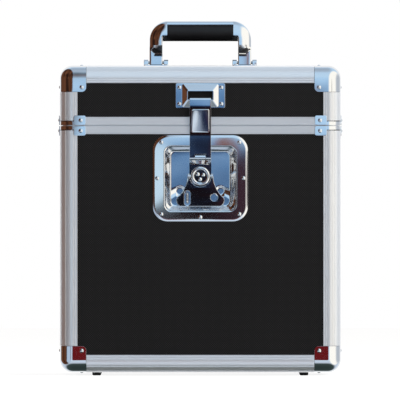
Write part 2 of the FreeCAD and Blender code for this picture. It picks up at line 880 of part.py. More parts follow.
def build_rotor():
    """The rotor: shaft, retainer, eccentric disc, drum, ring and dome, with the wing's pin through it."""
    floor_back = -pan_depth - dish_thickness
    tail_end = floor_back - shaft_tail
    retainer_front = floor_back - retainer_gap
    cam_back = -pan_depth + link_floor_gap - drum_back_gap
    drum_back = -pan_depth + link_floor_gap + link_thickness + drum_back_gap

    def turned(radius, back, front, z=rotor_z):
        return rod(V(0, depth_y(back), z), -AXIS_Y, radius, front - back)

    shaft = turned(shaft_radius, tail_end, drum_back)
    retainer = turned(retainer_radius, retainer_front - retainer_thickness, retainer_front)
    cam = turned(cam_radius, cam_back, drum_back, rotor_z - cam_offset)
    drum = turned(drum_radius, drum_back, -drum_front)
    ring = turned(drum_radius, -drum_front, -drum_front + drum_ring_height)
    ring = ring.cut(turned(drum_radius - drum_ring_width, -drum_front, drum_ring_height))
    bow_radius = (dome_radius ** 2 + dome_height ** 2) / (2 * dome_height)
    dome = Part.makeSphere(bow_radius, V(0, depth_y(-drum_front + dome_height - bow_radius), rotor_z))
    dome = dome.common(turned(dome_radius, -drum_front, dome_height))
    shaft = shaft.cut(block(-case_width, case_width, depth_y(drum_back), depth_y(cam_back), 0, top_z))
    rotor = joined(shaft, retainer, cam, drum, ring, dome)
    pin_y = depth_y(-wing_centre_depth)
    pin_start = V(-wing_eye_outer, pin_y, rotor_z)
    pin = rod(pin_start, AXIS_X, wing_pin_radius, 2 * wing_eye_outer)
    keep("latch_rotor", rotor.cut(pin))
    keep("wing_pin", pin)


def build_wing():
    """The fold-down wing handle, a bell-shaped plate with two eyes round the drum."""
    front = -wing_centre_depth + wing_thickness / 2

    def place(x, drop):
        return V(x, depth_y(front), rotor_z - drop)

    def bend(*points):
        return Part.Arc(*[place(*point) for point in points]).toShape()

    def side(sign):
        shoulder = (sign * wing_shoulder, 0)
        shape = (wing_waist, wing_flank, wing_lobe, wing_toe)
        waist, flank, lobe, toe = [(sign * x, drop) for x, drop in shape]
        return [bend(shoulder, waist, flank), bend(flank, lobe, toe)]

    toe_left = place(-wing_toe[0], wing_toe[1])
    toe_right = place(*wing_toe)
    shoulders = Part.LineSegment(place(-wing_shoulder, 0), place(wing_shoulder, 0)).toShape()
    sole = Part.LineSegment(toe_left, toe_right).toShape()
    outline = Part.Wire(Part.__sortEdges__(side(1) + side(-1) + [shoulders, sole]))
    through = V(0, wing_thickness, 0)
    plate = Part.Face(outline).extrude(through)
    plate = plate.cut(rod(place(0, 0) - through, AXIS_Y, wing_cutout_radius, 3 * wing_thickness))
    slot = round_wire(
        -wing_slot_place - wing_slot_half, -wing_slot_place + wing_slot_half,
        wing_slot_top, wing_slot_bottom, wing_slot_half * wing_slot_round_share, place,
    )
    plate = plate.cut(Part.Face(slot).extrude(through))
    plate = plate.cut(rod(place(*wing_hole_place), AXIS_Y, wing_hole_radius, wing_thickness))
    wing = plate
    pin_y = depth_y(-wing_centre_depth)
    for start in (-wing_eye_outer, wing_cutout_radius):
        eye_length = wing_eye_outer - wing_cutout_radius
        wing = wing.fuse(rod(V(start, pin_y, rotor_z), AXIS_X, wing_eye_radius, eye_length))
    bore = rod(V(-case_width / 2, pin_y, rotor_z), AXIS_X, wing_pin_radius + running_clearance, case_width)
    keep("latch_wing", wing.removeSplitter().cut(bore))


def build_staple():
    """The padlock staple that stands on the pan's floor, behind the wing's slot."""
    wire_y = depth_y(-wing_centre_depth - wing_thickness / 2 - staple_gap - staple_wire_radius)
    floor_y = depth_y(-pan_depth)
    high = V(-wing_slot_place, wire_y, rotor_z - staple_top)
    low = V(-wing_slot_place, wire_y, rotor_z - staple_bottom)
    bar = rod(low, AXIS_Z, staple_wire_radius, staple_bottom - staple_top)
    solids = [bar]
    for end in (high, low):
        solids.append(Part.makeSphere(staple_wire_radius, end))
        solids.append(rod(end, AXIS_Y, staple_wire_radius, floor_y - wire_y))
    keep("padlock_staple", joined(*solids))


def build_link():
    """The link plate with its yoke for the eccentric disc, and its eye for the hook arm."""
    back = -pan_depth + link_floor_gap
    front = back + link_thickness
    yoke_z = rotor_z - cam_offset
    half_slot = cam_radius + cam_clearance
    low_z = yoke_z - half_slot - link_border
    bend_z = rotor_z + link_bend
    outline = (
        (back, low_z),
        (front, low_z),
        (front, bend_z),
        (arm_knuckle_front + link_thickness / 2, knuckle_z - link_thickness),
        (arm_knuckle_front + link_thickness / 2, knuckle_z),
        (arm_knuckle_front - link_thickness / 2, knuckle_z),
        (back, bend_z + link_thickness / 2),
    )

    def place(depth, z, x=-link_half_width):
        return V(x, depth_y(depth), z)

    link = polygon(outline, place, V(2 * link_half_width, 0, 0))
    slot_x = cam_radius + cam_offset + cam_side_clearance
    through_y = (depth_y(front), depth_y(back))
    link = link.cut(block(-slot_x, slot_x, *through_y, yoke_z - half_slot, yoke_z + half_slot))
    for side in (-1, 1):
        edge_x = side * link_half_width
        low_x, high_x = sorted((edge_x, edge_x - side * link_flange_thickness))
        y0 = depth_y(front + link_flange_depth)
        z0 = rotor_z + link_flange_low
        z1 = rotor_z + link_flange_high
        link = link.fuse(block(low_x, high_x, y0, depth_y(back), z0, z1))
    knuckle_y = depth_y(arm_knuckle_front)
    clear = arm_knuckle_radius + knuckle_gap
    for start in (-link_half_width - overrun, link_eye_half):
        length = link_half_width + overrun - link_eye_half
        link = link.cut(rod(V(start, knuckle_y, knuckle_z), AXIS_X, clear, length))
    eye_start = V(-link_eye_half, knuckle_y, knuckle_z)
    link = link.fuse(rod(eye_start, AXIS_X, arm_knuckle_radius, 2 * link_eye_half))
    bore_start = V(-arm_half_width, knuckle_y, knuckle_z)
    bore = rod(bore_start, AXIS_X, arm_pin_radius + running_clearance, 2 * arm_half_width)
    keep("latch_link", link.removeSplitter().cut(bore))


def build_arm():
    """The hook arm: a strap from its eyes up and out over the keeper, with a tab turned in at the top."""
    low_front = arm_knuckle_front + arm_knuckle_radius
    low_back = low_front - arm_thickness
    high_back = arm_stand_off
    high_front = high_back + arm_thickness
    bend_low = rotor_z + arm_bend_low
    bend_high = rotor_z + arm_bend_high
    top = rotor_z + arm_top
    outline = (
        (low_back, knuckle_z),
        (low_back, bend_low),
        (high_back, bend_high),
        (high_back, top - arm_thickness),
        (arm_tab_tip, top - arm_thickness),
        (arm_tab_tip, top),
        (high_front, top),
        (high_front, bend_high),
        (low_front, bend_low),
        (low_front, knuckle_z),
    )

    def place(depth, z):
        return V(-arm_half_width, depth_y(depth), z)

    arm = polygon(outline, place, V(2 * arm_half_width, 0, 0))
    knuckle_y = depth_y(arm_knuckle_front)
    clear_radius = arm_knuckle_radius + knuckle_gap
    arm = arm.cut(rod(V(-arm_eye_start, knuckle_y, knuckle_z), AXIS_X, clear_radius, 2 * arm_eye_start))
    for start in (-arm_half_width, arm_eye_start):
        eye = rod(V(start, knuckle_y, knuckle_z), AXIS_X, arm_knuckle_radius, arm_half_width - arm_eye_start)
        arm = arm.fuse(eye)
    rise = V(0, depth_y(high_front) - depth_y(low_front), bend_high - bend_low)
    along = V(rise).normalize()
    middle = V(0, depth_y((low_front + high_front) / 2), (bend_low + bend_high) / 2)

    def pad_wire(shrink, height):
        x = arm_pad_half_width - shrink
        z = arm_pad_half_length - shrink
        return round_wire(-x, x, -z, z, arm_pad_bevel, lambda u, v: V(u, v, height))

    pad = Part.makeLoft([pad_wire(0, 0), pad_wire(arm_pad_bevel / 2, arm_pad_height)], True, True)
    arm = arm.fuse(seated(pad, middle, AXIS_X, along)).removeSplitter()
    pin = rod(V(-arm_half_width, knuckle_y, knuckle_z), AXIS_X, arm_pin_radius, 2 * arm_half_width)
    keep("latch_arm", arm.cut(pin))
    keep("arm_pin", pin)


def build_keeper():
    """The keeper plate on the lid, a pressed hollow rise with a mouth for the arm's tab."""
    high = split_z + lid_height - keeper_drop
    low = high - keeper_height
    x = keeper_width / 2
    mouth_low = rotor_z + arm_top - arm_thickness - keeper_mouth_low
    mouth_high = mouth_low + keeper_mouth_height
    outline = Part.Face(face_wire(-x, x, low, high, keeper_corner_radius, 0))
    plate = outline.extrude(V(0, -keeper_thickness, 0))

    def rise(inset, base, top, mouth_inset):
        wide = keeper_base_half_width - inset
        narrow = keeper_mouth_half_width + mouth_inset
        base_low = low + keeper_base_margin + inset
        base_high = high - keeper_base_margin - inset
        radius = keeper_corner_radius
        lower = face_wire(-wide, wide, base_low, base_high, radius, base)
        upper_low = mouth_low - mouth_inset
        upper_high = mouth_high + mouth_inset
        upper = face_wire(-narrow, narrow, upper_low, upper_high, radius / 2, top)
        return Part.makeLoft([lower, upper], True, True)

    outer = rise(0, 0, keeper_rise, keeper_thickness)
    inner = rise(keeper_thickness, 0, keeper_rise, 0)
    keeper = plate.fuse(outer).cut(inner).removeSplitter()
    keep("keeper_plate", keeper)
    places = []
    for side_x in (-1, 1):
        for z in (low + keeper_rivet_margin_z, high - keeper_rivet_margin_z):
            place_x = side_x * (x - keeper_rivet_margin_x)
            places.append((V(place_x, depth_y(keeper_thickness), z), -AXIS_Y))
    drill(["keeper_plate", "lid_panel_front"], places)
    keep("keeper_rivets", [rivet(point, outward) for point, outward in places])


# Carrying handle


def build_handle():
    """The chrome handle frame with its grip, pins and brackets."""
    top = top_z + handle_height
    x = handle_width / 2
    inner_x = x - handle_leg_width
    leg_middle = x - handle_leg_width / 2
    low = pivot_z - overrun
    deep = V(0, 2 * handle_half_depth, 0)

    def face_place(u, v):
        return V(u, -handle_half_depth, v)

    corner = handle_corner_radius
    outer = Part.Face(round_wire(-x, x, low - 2 * corner, top, corner, face_place)).extrude(deep)
    inner_top = top - handle_inner_top
    hole = Part.Face(
        round_wire(-inner_x, inner_x, low - 3 * corner, inner_top, handle_inner_radius, face_place)
    ).extrude(deep)
    bar_under = top - handle_bar_height
    deep_half = handle_half_depth
    grip_room = block(
        -grip_half_length, grip_half_length, -deep_half, deep_half, inner_top - overrun, bar_under
    )
    frame = outer.cut(hole)
    frame = frame.cut(grip_room)
    rounding = []
    for edge in frame.Edges:
        box = edge.BoundBox
        on_face = abs(abs(box.Center.y) - handle_half_depth) < touch and box.YLength < touch
        outside = box.ZMax > top - corner - touch and (box.ZMin > bar_under or abs(box.Center.x) > inner_x)
        legs = abs(abs(box.Center.x) - x) < touch
        if on_face and (outside or legs):
            rounding.append(edge)
    frame = frame.makeFillet(handle_edge_radius, rounding)
    foot_top = pivot_z + handle_foot_top
    foot = handle_foot_half_depth
    full = handle_half_depth
    taper = (
        (-foot, low), (foot, low), (foot, pivot_z + leg_end_radius), (full, foot_top),
        (full, top), (-full, top), (-full, foot_top), (-foot, pivot_z + leg_end_radius),
    )
    frame = frame.common(polygon(taper, lambda u, v: V(-x, u, v), V(handle_width, 0, 0)))
    frame = frame.cut(block(-x, x, -full, full, low - 4 * corner, pivot_z))
    pins = []
    for side in (-1, 1):
        start = V(side * leg_middle - handle_leg_width / 2, 0, pivot_z)
        end_rod = rod(start, AXIS_X, leg_end_radius, handle_leg_width)
        flat = block(start.x, start.x + handle_leg_width, -foot, foot, low, top)
        frame = frame.fuse(end_rod.common(flat))
        bore = rod(start, AXIS_X, handle_pin_radius + running_clearance, handle_leg_width)
        frame = frame.cut(bore)
        reach = bracket_leg_gap + bracket_ear_thickness
        pin_start = start - V(reach, 0, 0)
        pins.append(rod(pin_start, AXIS_X, handle_pin_radius, handle_leg_width + 2 * reach))
    keep("handle_frame", frame.removeSplitter())
    keep("handle_pins", pins)

    grip_z = bar_under - grip_sink
    grip = rod(V(-grip_half_length, 0, grip_z), AXIS_X, grip_radius, 2 * grip_half_length)
    ceiling = block(-x, x, -case_depth, case_depth, bar_under, bar_under + case_depth)
    keep("handle_grip", grip.cut(ceiling))

    brackets = []
    places = []
    for side in (-1, 1):
        half = handle_leg_width / 2 + bracket_leg_gap + bracket_ear_thickness
        centre = side * leg_middle
        plate = block(
            centre - half, centre + half, -bracket_half_depth, bracket_half_depth,
            top_z, top_z + bracket_plate_thickness,
        )
        window_x = handle_leg_width / 2 + bracket_leg_gap
        depth = bracket_window_half_depth
        plate = plate.cut(
            block(centre - window_x, centre + window_x, -depth, depth, top_z, top_z + bracket_height)
        )
        ears = []
        ear_half = bracket_height - pivot_height
        for start_x in (centre - half, centre + window_x):
            post = block(start_x, start_x + bracket_ear_thickness, -ear_half, ear_half, top_z, pivot_z)
            cap = rod(V(start_x, 0, pivot_z), AXIS_X, ear_half, bracket_ear_thickness)
            ears.append(joined(post, cap))
        bracket = joined(plate, *ears)
        pin_start = V(centre - half, 0, pivot_z)
        brackets.append(bracket.cut(rod(pin_start, AXIS_X, handle_pin_radius, 2 * half)))
        for across in (-bracket_rivet_side, bracket_rivet_side):
            for deep_y in (-bracket_rivet_place, bracket_rivet_place):
                places.append((V(centre + across, deep_y, top_z + bracket_plate_thickness), AXIS_Z))
    keep("handle_brackets", brackets)
    drill(["handle_brackets", "lid_panel_top"], places, rivet_grip)
    pieces["lid_rivets"] += [rivet(point, outward) for point, outward in places]


def main():
    """Build every piece and write one STEP file for each node."""
    build_frames()
    build_boards()
    build_corners()
    build_feet()
    build_hinges()
    build_dish()
    build_rotor()
    build_wing()
    build_staple()
    build_link()
    build_arm()
    build_keeper()
    build_handle()
    os.makedirs("parts", exist_ok=True)
    for node, solids in pieces.items():
        shape = solids[0] if len(solids) == 1 else Part.makeCompound(solids)
        shape.exportStep(f"parts/{node}.step")
        print(node, len(shape.Solids), round(shape.Volume))


if __name__ == "__main__":
    main()
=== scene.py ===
"""Surfaces, finishes, light and camera of a record carrying case, around its packed model.

Metres, in the model's own frame: X to the right, Y to the back, Z up. The front looks towards -Y.
"""

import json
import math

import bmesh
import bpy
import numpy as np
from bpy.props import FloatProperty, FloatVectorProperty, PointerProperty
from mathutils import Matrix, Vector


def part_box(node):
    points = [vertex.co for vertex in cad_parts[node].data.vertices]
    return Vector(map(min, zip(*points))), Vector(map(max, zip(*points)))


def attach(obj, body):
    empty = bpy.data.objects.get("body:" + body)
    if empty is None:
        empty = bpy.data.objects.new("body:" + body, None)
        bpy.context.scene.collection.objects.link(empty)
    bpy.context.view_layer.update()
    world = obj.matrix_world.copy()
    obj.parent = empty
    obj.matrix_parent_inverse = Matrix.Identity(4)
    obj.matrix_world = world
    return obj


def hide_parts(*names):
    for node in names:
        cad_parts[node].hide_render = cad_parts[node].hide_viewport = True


bl_info = {
    "name": "Record carrying case",
    "version": (1, 0, 0),
    "blender": (4, 5, 0),
    "location": "3D View > Sidebar > Case",
    "description": "Builds the case's sections, corners, latch, handle and finishes around its packed model",
    "category": "Object",
}

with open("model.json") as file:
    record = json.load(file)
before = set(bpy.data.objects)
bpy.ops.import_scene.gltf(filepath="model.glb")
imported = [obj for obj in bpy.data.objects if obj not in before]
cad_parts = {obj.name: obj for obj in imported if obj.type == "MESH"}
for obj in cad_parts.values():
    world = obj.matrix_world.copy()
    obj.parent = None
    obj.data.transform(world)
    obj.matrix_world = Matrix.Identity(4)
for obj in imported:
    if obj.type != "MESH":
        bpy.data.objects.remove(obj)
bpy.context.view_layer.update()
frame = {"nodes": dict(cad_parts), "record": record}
BODY_OF = {node: body for body, nodes in frame["record"]["behaviour"]["bodies"].items() for node in nodes}
MM = 0.001
TINY = 1e-7
# Usual rounding of a small piece's edges
EDGE = 0.3 * MM
X = np.array([1.0, 0.0, 0.0])
Y = np.array([0.0, 1.0, 0.0])
Z = np.array([0.0, 0.0, 1.0])


def length(name, millimetres, description):
    """A length property, given here in millimetres and held in metres."""
    return FloatProperty(
        name=name, default=millimetres * MM, description=description, subtype="DISTANCE", unit="LENGTH"
    )


def colour(name, default, description):
    """A linear colour property."""
    return FloatVectorProperty(name=name, default=default, description=description, subtype="COLOR", size=3)


def share(name, default, description):
    """A plain number property, such as a roughness."""
    return FloatProperty(name=name, default=default, description=description, subtype="FACTOR")


def pair(name, values, description):
    """A place on a flat piece, across and down, given here in millimetres."""
    return FloatVectorProperty(
        name=name, default=[value * MM for value in values], description=description, subtype="XYZ",
        unit="LENGTH", size=2,
    )


def span(node):
    """The lowest and highest corner of a packed node, as arrays."""
    low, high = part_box(node)
    return np.array(low), np.array(high)


def middle_and_half(node):
    """The middle of a packed node's box and half its size."""
    low, high = span(node)
    return (low + high) / 2, (high - low) / 2


# Places that the packed model gives

HALF_WIDTH = span("base_edge_right")[1][0]
HALF_DEPTH = span("base_edge_back")[1][1]
FLOOR_Z = span("base_edge_front")[0][2]
TOP_Z = span("lid_edge_front")[1][2]
SPLIT_Z = span("lid_rim")[0][2]
PANEL_Y = span("base_panel_front")[0][1]
PANEL_BACK_Y = span("base_panel_back")[1][1]
WING_Y, ROTOR_Z = middle_and_half("wing_pin")[0][1:]
KNUCKLE_Y, KNUCKLE_Z = middle_and_half("arm_pin")[0][1:]
PIVOT_Z = middle_and_half("handle_pins")[0][2]
HINGE_Y = middle_and_half("hinge_pins")[0][1]


# Sizes and colours that a user would change


class SectionSizes(bpy.types.PropertyGroup):
    """Aluminium edge sections and rims."""

    band: length("Band width", 22.0, "Leg of an edge section")
    radius: length("Edge radius", 16.0, "Outer rounding of the case's edges")
    skin: length("Skin", 1.5, "Wall of the sections")
    flute_radius: length("Flute radius", 0.6, "Rounding of the fine grooves along the sections")
    flute_lift: length("Flute lift", 0.2, "How far a groove's centre stands off the surface")
    flute_outer: length("Outer flute", 20.0, "Place of the groove nearest the board")
    flute_inner: length("Inner flute", 17.2, "Place of the groove nearest the rounding")
    flute_turn: share("Flute turn", 32.0, "Angle of the grooves on the rounding, in degrees from a face")
    lip_reach: length("Lip reach", 21.0, "How far the inner lips go in from the edge")
    board_back: length("Board back", 8.5, "Depth of the boards' inner faces")
    lip_back: length("Lip back", 10.1, "Depth of the inner lips' inner faces")
    chamfer: length("Chamfer", 0.3, "Broken edge of a band")
    rim_height: length("Rim height", 10.8, "Height of a rim band")
    rim_chamfer: length("Rim chamfer", 0.8, "Broken edge of a rim at the split")
    split_gap: length("Split gap", 0.6, "How far a rim band stays off the split")
    split_depth: length("Split depth", 1.0, "Depth of the dark slot along the split, behind a band's skin")
    groove_depth: length("Groove depth", 0.4, "Depth of the groove along a rim")
    groove_width: length("Groove width", 0.6, "Width of the groove along a rim")
    bead: length("Bead", 1.2, "Height of the bead along a rim")
    rim_gap: length("Rim gap", 0.3, "Gap between a rim band and the upright sections")
    base_web: length("Base web", 2.0, "Thickness of the base rim's web")
    lid_web: length("Lid web", 5.2, "Thickness of the lid rim's web")
    tongue: length("Tongue", 3.0, "Height of the base rim's locating tongue")
    tongue_gap: length("Tongue gap", 1.0, "Clearance round the tongue in the lid rim's groove")


class CornerSizes(bpy.types.PropertyGroup):
    """Ball corners, rim clips, rivets and feet."""

    leg: length("Corner leg", 33.0, "Leg of a ball corner")
    wall: length("Corner wall", 1.5, "Thickness of a ball corner")
    ear_radius: length("Ear radius", 5.6, "Rounding of a ball corner's ears")
    rivet_place: length("Rivet place", 27.2, "Place of the rivet on each face of a ball corner")
    clip_low: length("Clip low", 0.6, "Start of a rim clip's strip, from the split")
    clip_high: length("Clip high", 5.2, "End of a rim clip's strip, from the split")
    ear_start: length("Ear start", 17.5, "Near end of a clip's ear")
    ear_end: length("Ear end", 32.4, "Far end of a clip's ear")
    ear_height: length("Ear height", 12.6, "Height of a clip's ear")
    ear_wall: length("Ear wall", 1.0, "Thickness of a clip's ear")
    ear_round: length("Ear round", 2.0, "Rounding of a clip's ear")
    clip_rivet: length("Clip rivet", 26.0, "Place of a clip's rivet from the corner line")
    clip_rivet_height: length("Clip rivet height", 6.6, "Height of a clip's rivet from the split")
    rivet_radius: length("Rivet radius", 2.6, "Radius of a rivet's head")
    rivet_height: length("Rivet height", 1.3, "Height of a rivet's head")
    foot_x: length("Foot place X", 130.0, "Place of the feet across the case")
    foot_y: length("Foot place Y", 88.0, "Place of the feet along the depth")
    foot_top: length("Foot top", 8.0, "Radius of a foot at the floor board")
    foot_sole: length("Foot sole", 5.5, "Radius of a foot's barrel")
    foot_edge: length("Foot edge", 1.6, "Rounding of a foot's sole")
    foot_flange: length("Foot flange", 1.4, "Thickness of a foot's flange, behind the sections' skin")
    foot_recess: length("Foot recess", 3.6, "Radius of the screw's recess")
    foot_recess_height: length("Recess height", 2.0, "Height of the screw's recess")


class HingeSizes(bpy.types.PropertyGroup):
    """Hinges on the back."""

    place: length("Hinge place", 100.0, "Middle of a hinge from the middle of the case")
    width: length("Hinge width", 50.0, "Width of a hinge")
    leaf: length("Leaf length", 34.0, "End of a leaf from the split")
    wall: length("Leaf wall", 1.5, "Thickness of a leaf")
    fit: length("Leaf fit", 0.1, "Gap between the leaves at the split")
    knuckle: length("Knuckle radius", 4.0, "Radius of a knuckle")
    stand: length("Knuckle gap", 0.3, "Room round the other leaf's knuckles")
    gap: length("Gap", 0.4, "Gap between two knuckles")
    pin: length("Pin radius", 1.75, "Radius of a hinge's pin")
    pin_end: length("Pin end", 0.6, "How far a pin stands out of its knuckles")
    corner: length("Leaf corner", 3.0, "Rounding of a leaf's corners")
    spacing: length("Rivet spacing", 17.0, "Distance between a leaf's rivets")
    rivet_low: length("Outer rivets", 20.0, "Height of the outer rivets from the split")
    rivet_high: length("Middle rivet", 24.667, "Height of the middle rivet from the split")
    knuckles: bpy.props.IntProperty(name="Knuckles", default=5, description="Knuckles of a hinge")


class LatchSizes(bpy.types.PropertyGroup):
    """Dish, rotor, wing, staple, hook arm and keeper."""

    dish_radius: length("Dish radius", 18.8, "Corner radius of the dish's flange")
    sheet: length("Sheet", 1.2, "Thickness of the pressed dish and keeper")
    pan_drop: length("Pan drop", 25.7, "Top of the pan's mouth below the split")
    pan_width: length("Pan width", 90.0, "Width of the pan's mouth")
    pan_height: length("Pan height", 81.8, "Height of the pan's mouth")
    pan_radius: length("Pan radius", 9.0, "Corner radius of the pan's mouth")
    floor_width: length("Floor width", 76.2, "Width of the pan's floor")
    floor_height: length("Floor height", 70.1, "Height of the pan's floor")
    floor_radius: length("Floor radius", 6.3, "Corner radius of the pan's floor")
    pan_depth: length("Pan depth", 11.0, "Depth of the pan")
    dimple_x: length("Dimple place", 25.5, "Place of the finger dimples across the pan")
    dimple_drop: length("Dimple drop", 19.1, "Place of the dimples below the rotor")
    dimple_radius: length("Dimple radius", 7.0, "Radius of a dimple's mouth")
    dimple_bend: length("Dimple bend", 2.4, "Width of the bend round a dimple's flat")
    dimple_depth: length("Dimple depth", 1.5, "Depth of a dimple's flat")
    swage: length("Swage", 2.4, "Width of the flange's rounded outer edge")
    mouth_bend: length("Mouth bend", 1.6, "Rounding of the pan's mouth")
    floor_bend: length("Floor bend", 2.6, "Rounding between the pan's wall and its floor")
    rivet_upper_x: length("Rivet X", 48.9, "Upper and lower rivets from the middle")
    rivet_middle_drop: length("Middle rivet drop", 2.6, "Side rivets below the rotor")
    rivet_lower_drop: length("Lower rivet drop", 47.7, "Lower rivets below the rotor")
    shaft: length("Shaft radius", 5.0, "Radius of the rotor's shaft")
    retainer: length("Retainer radius", 8.0, "Radius of the ring behind the dish")
    retainer_gap: length("Retainer gap", 0.3, "Play of the rotor")
    cam: length("Cam radius", 6.0, "Radius of the eccentric disc")
    cam_offset: length("Cam offset", 3.5, "Eccentric disc's centre below the rotor's")
    drum_back: length("Drum back", 2.7, "Drum's back over the pan's floor")
    drum_radius: length("Drum radius", 12.0, "Radius of the rotor's drum")
    drum_front: length("Drum front", 2.0, "Depth of the drum's face")
    ring_width: length("Ring width", 4.2, "Width of the ring round the drum's face")
    ring_height: length("Ring height", 1.6, "Height of that ring")
    dome_place: length("Dome place", 4.0, "Place of the three small domes from the drum's middle")
    dome_radius: length("Dome radius", 2.5, "Radius of a small dome")
    dome_height: length("Dome height", 1.1, "Height of a small dome")
    wing_wall: length("Wing wall", 1.6, "Thickness of the wing")
    wing_cut: length("Wing cut", 13.4, "Radius of the wing's cut-out round the drum")
    wing_eye: length("Wing eye", 3.2, "Radius of the wing's eyes")
    eye_gap: length("Eye gap", 0.1, "Gap between the cut-out and the wing's eyes")
    wing_eye_outer: length("Wing eye end", 15.8, "Outer end of the wing's eyes")
    wing_shoulder: length("Wing shoulder", 16.0, "Half width of the wing at the pin")
    waist: pair("Waist", (19.0, 13.2), "Point of the wing's edge at its waist")
    flank: pair("Flank", (29.3, 27.0), "Point of the wing's edge where the lobe starts")
    lobe: pair("Lobe", (30.0, 31.5), "Outermost point of the lobe")
    toe: pair("Toe", (23.5, 38.0), "Point of the wing's edge where its sole starts")
    slot_place: length("Slot place", 16.3, "Place of the staple's slot")
    slot_half: length("Slot half", 3.9, "Half width of the slot")
    slot_top: length("Slot top", 18.0, "Top of the slot below the pin")
    slot_bottom: length("Slot bottom", 37.0, "Bottom of the slot below the pin")
    hole_x: length("Hole place X", 17.3, "Place of the wing's round hole across")
    hole_drop: length("Hole drop", 26.6, "Place of the round hole below the pin")
    hole_radius: length("Hole radius", 4.7, "Radius of the round hole")
    wing_edge: length("Wing edge", 0.45, "Rounding of the wing's edges")
    staple_wire: length("Staple wire", 1.5, "Radius of the staple's wire")
    staple_top: length("Staple top", 21.5, "Upper end of the staple below the pin")
    staple_bottom: length("Staple bottom", 33.0, "Lower end of the staple below the pin")
    arm_half: length("Arm half width", 13.4, "Half width of the hook arm")
    arm_wall: length("Arm wall", 2.0, "Thickness of the arm")
    arm_stand: length("Arm stand-off", 6.8, "Depth of the air behind the arm's upper part")
    arm_bend_low: length("Arm lower bend", 53.0, "Lower bend above the pin")
    arm_bend_high: length("Arm upper bend", 86.0, "Upper bend above the pin")
    arm_top: length("Arm top", 98.3, "Top of the arm above the pin")
    arm_tab: length("Arm tab", 2.0, "Where the turned-in tab ends, before the board")
    arm_bend: length("Arm bend", 3.0, "Reach of the arm's two slow bends")
    tab_bend: length("Tab bend", 1.6, "Reach of the bend into the tab")
    arm_corner: length("Arm corner", 1.2, "Rounding of the tab's corners")
    notch_gap: length("Notch gap", 0.5, "Room above the knuckle in the strap's notch")
    knuckle: length("Knuckle radius", 3.75, "Radius of the arm's knuckle")
    eye_start: length("Eye start", 6.8, "Inner end of the arm's eyes")
    pad_half_width: length("Pad half width", 11.1, "Half width of the arm's raised pad")
    pad_half_length: length("Pad half length", 14.6, "Half length of the pad")
    pad_height: length("Pad height", 1.0, "Height of the pad")
    pad_corner: length("Pad corner", 1.6, "Rounding of the pad's corners")
    pad_crown: share("Pad crown", 0.5, "Share of its height that the pad loses towards its sides")
    pad_taper: share("Pad taper", 0.8, "Share of its height that the pad loses towards its lower end")
    keeper_radius: length("Keeper radius", 2.0, "Corner radius of the keeper plate")
    keeper_rise: length("Keeper rise", 6.0, "Height of the keeper's rise")
    keeper_base: length("Keeper base", 22.7, "Half width of the rise at its base")
    keeper_margin: length("Keeper margin", 1.1, "Flat left above and below the rise")
    mouth_half: length("Mouth half width", 15.5, "Half width of the keeper's mouth")
    mouth_low: length("Mouth low", 0.3, "Mouth's lower edge under the tab")
    mouth_height: length("Mouth height", 10.3, "Height of the keeper's mouth")


class HandleSizes(bpy.types.PropertyGroup):
    """Carrying handle, its grip and its brackets."""

    width: length("Handle width", 128.0, "Width of the handle")
    height: length("Handle height", 57.0, "Top of the handle above the lid")
    leg: length("Leg width", 16.4, "Width of a leg")
    corner: length("Corner radius", 24.0, "Outer rounding of the handle's corners")
    depth: length("Half depth", 8.0, "Half depth of the bar")
    foot: length("Foot half depth", 3.5, "Half depth of a foot")
    foot_low: length("Foot low", 7.0, "Top of a flat foot at its inner edge")
    foot_top: length("Foot top", 18.0, "Top of a flat foot at its outer edge")
    foot_full: length("Foot full", 22.0, "Where a leg may first have the bar's full depth")
    foot_step: length("Foot step", 3.0, "Height over which a flat foot turns into the bar's section")
    foot_power: share("Foot power", 10.0, "Power of a foot's squared section")
    edge: length("Edge radius", 1.3, "Rounding of the inside edges")
    bar: length("Bar height", 5.7, "Height of the bar over the grip")
    inner_corner: length("Inner radius", 1.5, "Rounding of the opening's corners")
    inner_top: length("Opening top", 19.4, "Top of the opening below the handle's top")
    end_radius: length("Leg end", 4.0, "Rounding of a leg's end")
    grip_half: length("Grip half length", 41.7, "Half length of the grip")
    grip_radius: length("Grip radius", 11.0, "Radius of the grip")
    grip_sink: length("Grip sink", 8.9, "Grip's centre line below the bar")
    grip_edge: length("Grip edge", 1.2, "Rounding of the grip's ends")
    nub_depth: length("Nub half depth", 6.0, "Half depth of the nubs at the grip's ends")
    nub_corner: length("Nub corner", 1.6, "Rounding of the nubs")
    nub_gap: length("Nub gap", 0.2, "Gap between a nub and the leg")
    bracket_gap: length("Bracket gap", 1.5, "Gap between a leg and its ears")
    bracket_ear: length("Bracket ear", 5.7, "Thickness of an ear")
    bracket_edge: length("Bracket edge", 0.5, "Rounding of an ear's edges")
    bracket_height: length("Bracket height", 8.5, "Top of an ear above the lid")
    bracket_half: length("Bracket half", 15.0, "Half depth of a bracket")
    bracket_corner: length("Bracket corner", 2.0, "Rounding of a bracket's corners")
    bracket_plate: length("Bracket plate", 1.5, "Thickness of a bracket's plate")
    bracket_window: length("Bracket window", 8.6, "Half depth of the plate's window")
    rivet_across: length("Rivet across", 12.2, "Bracket rivets from the leg's middle")
    rivet_along: length("Rivet along", 11.6, "Bracket rivets from the pivot")


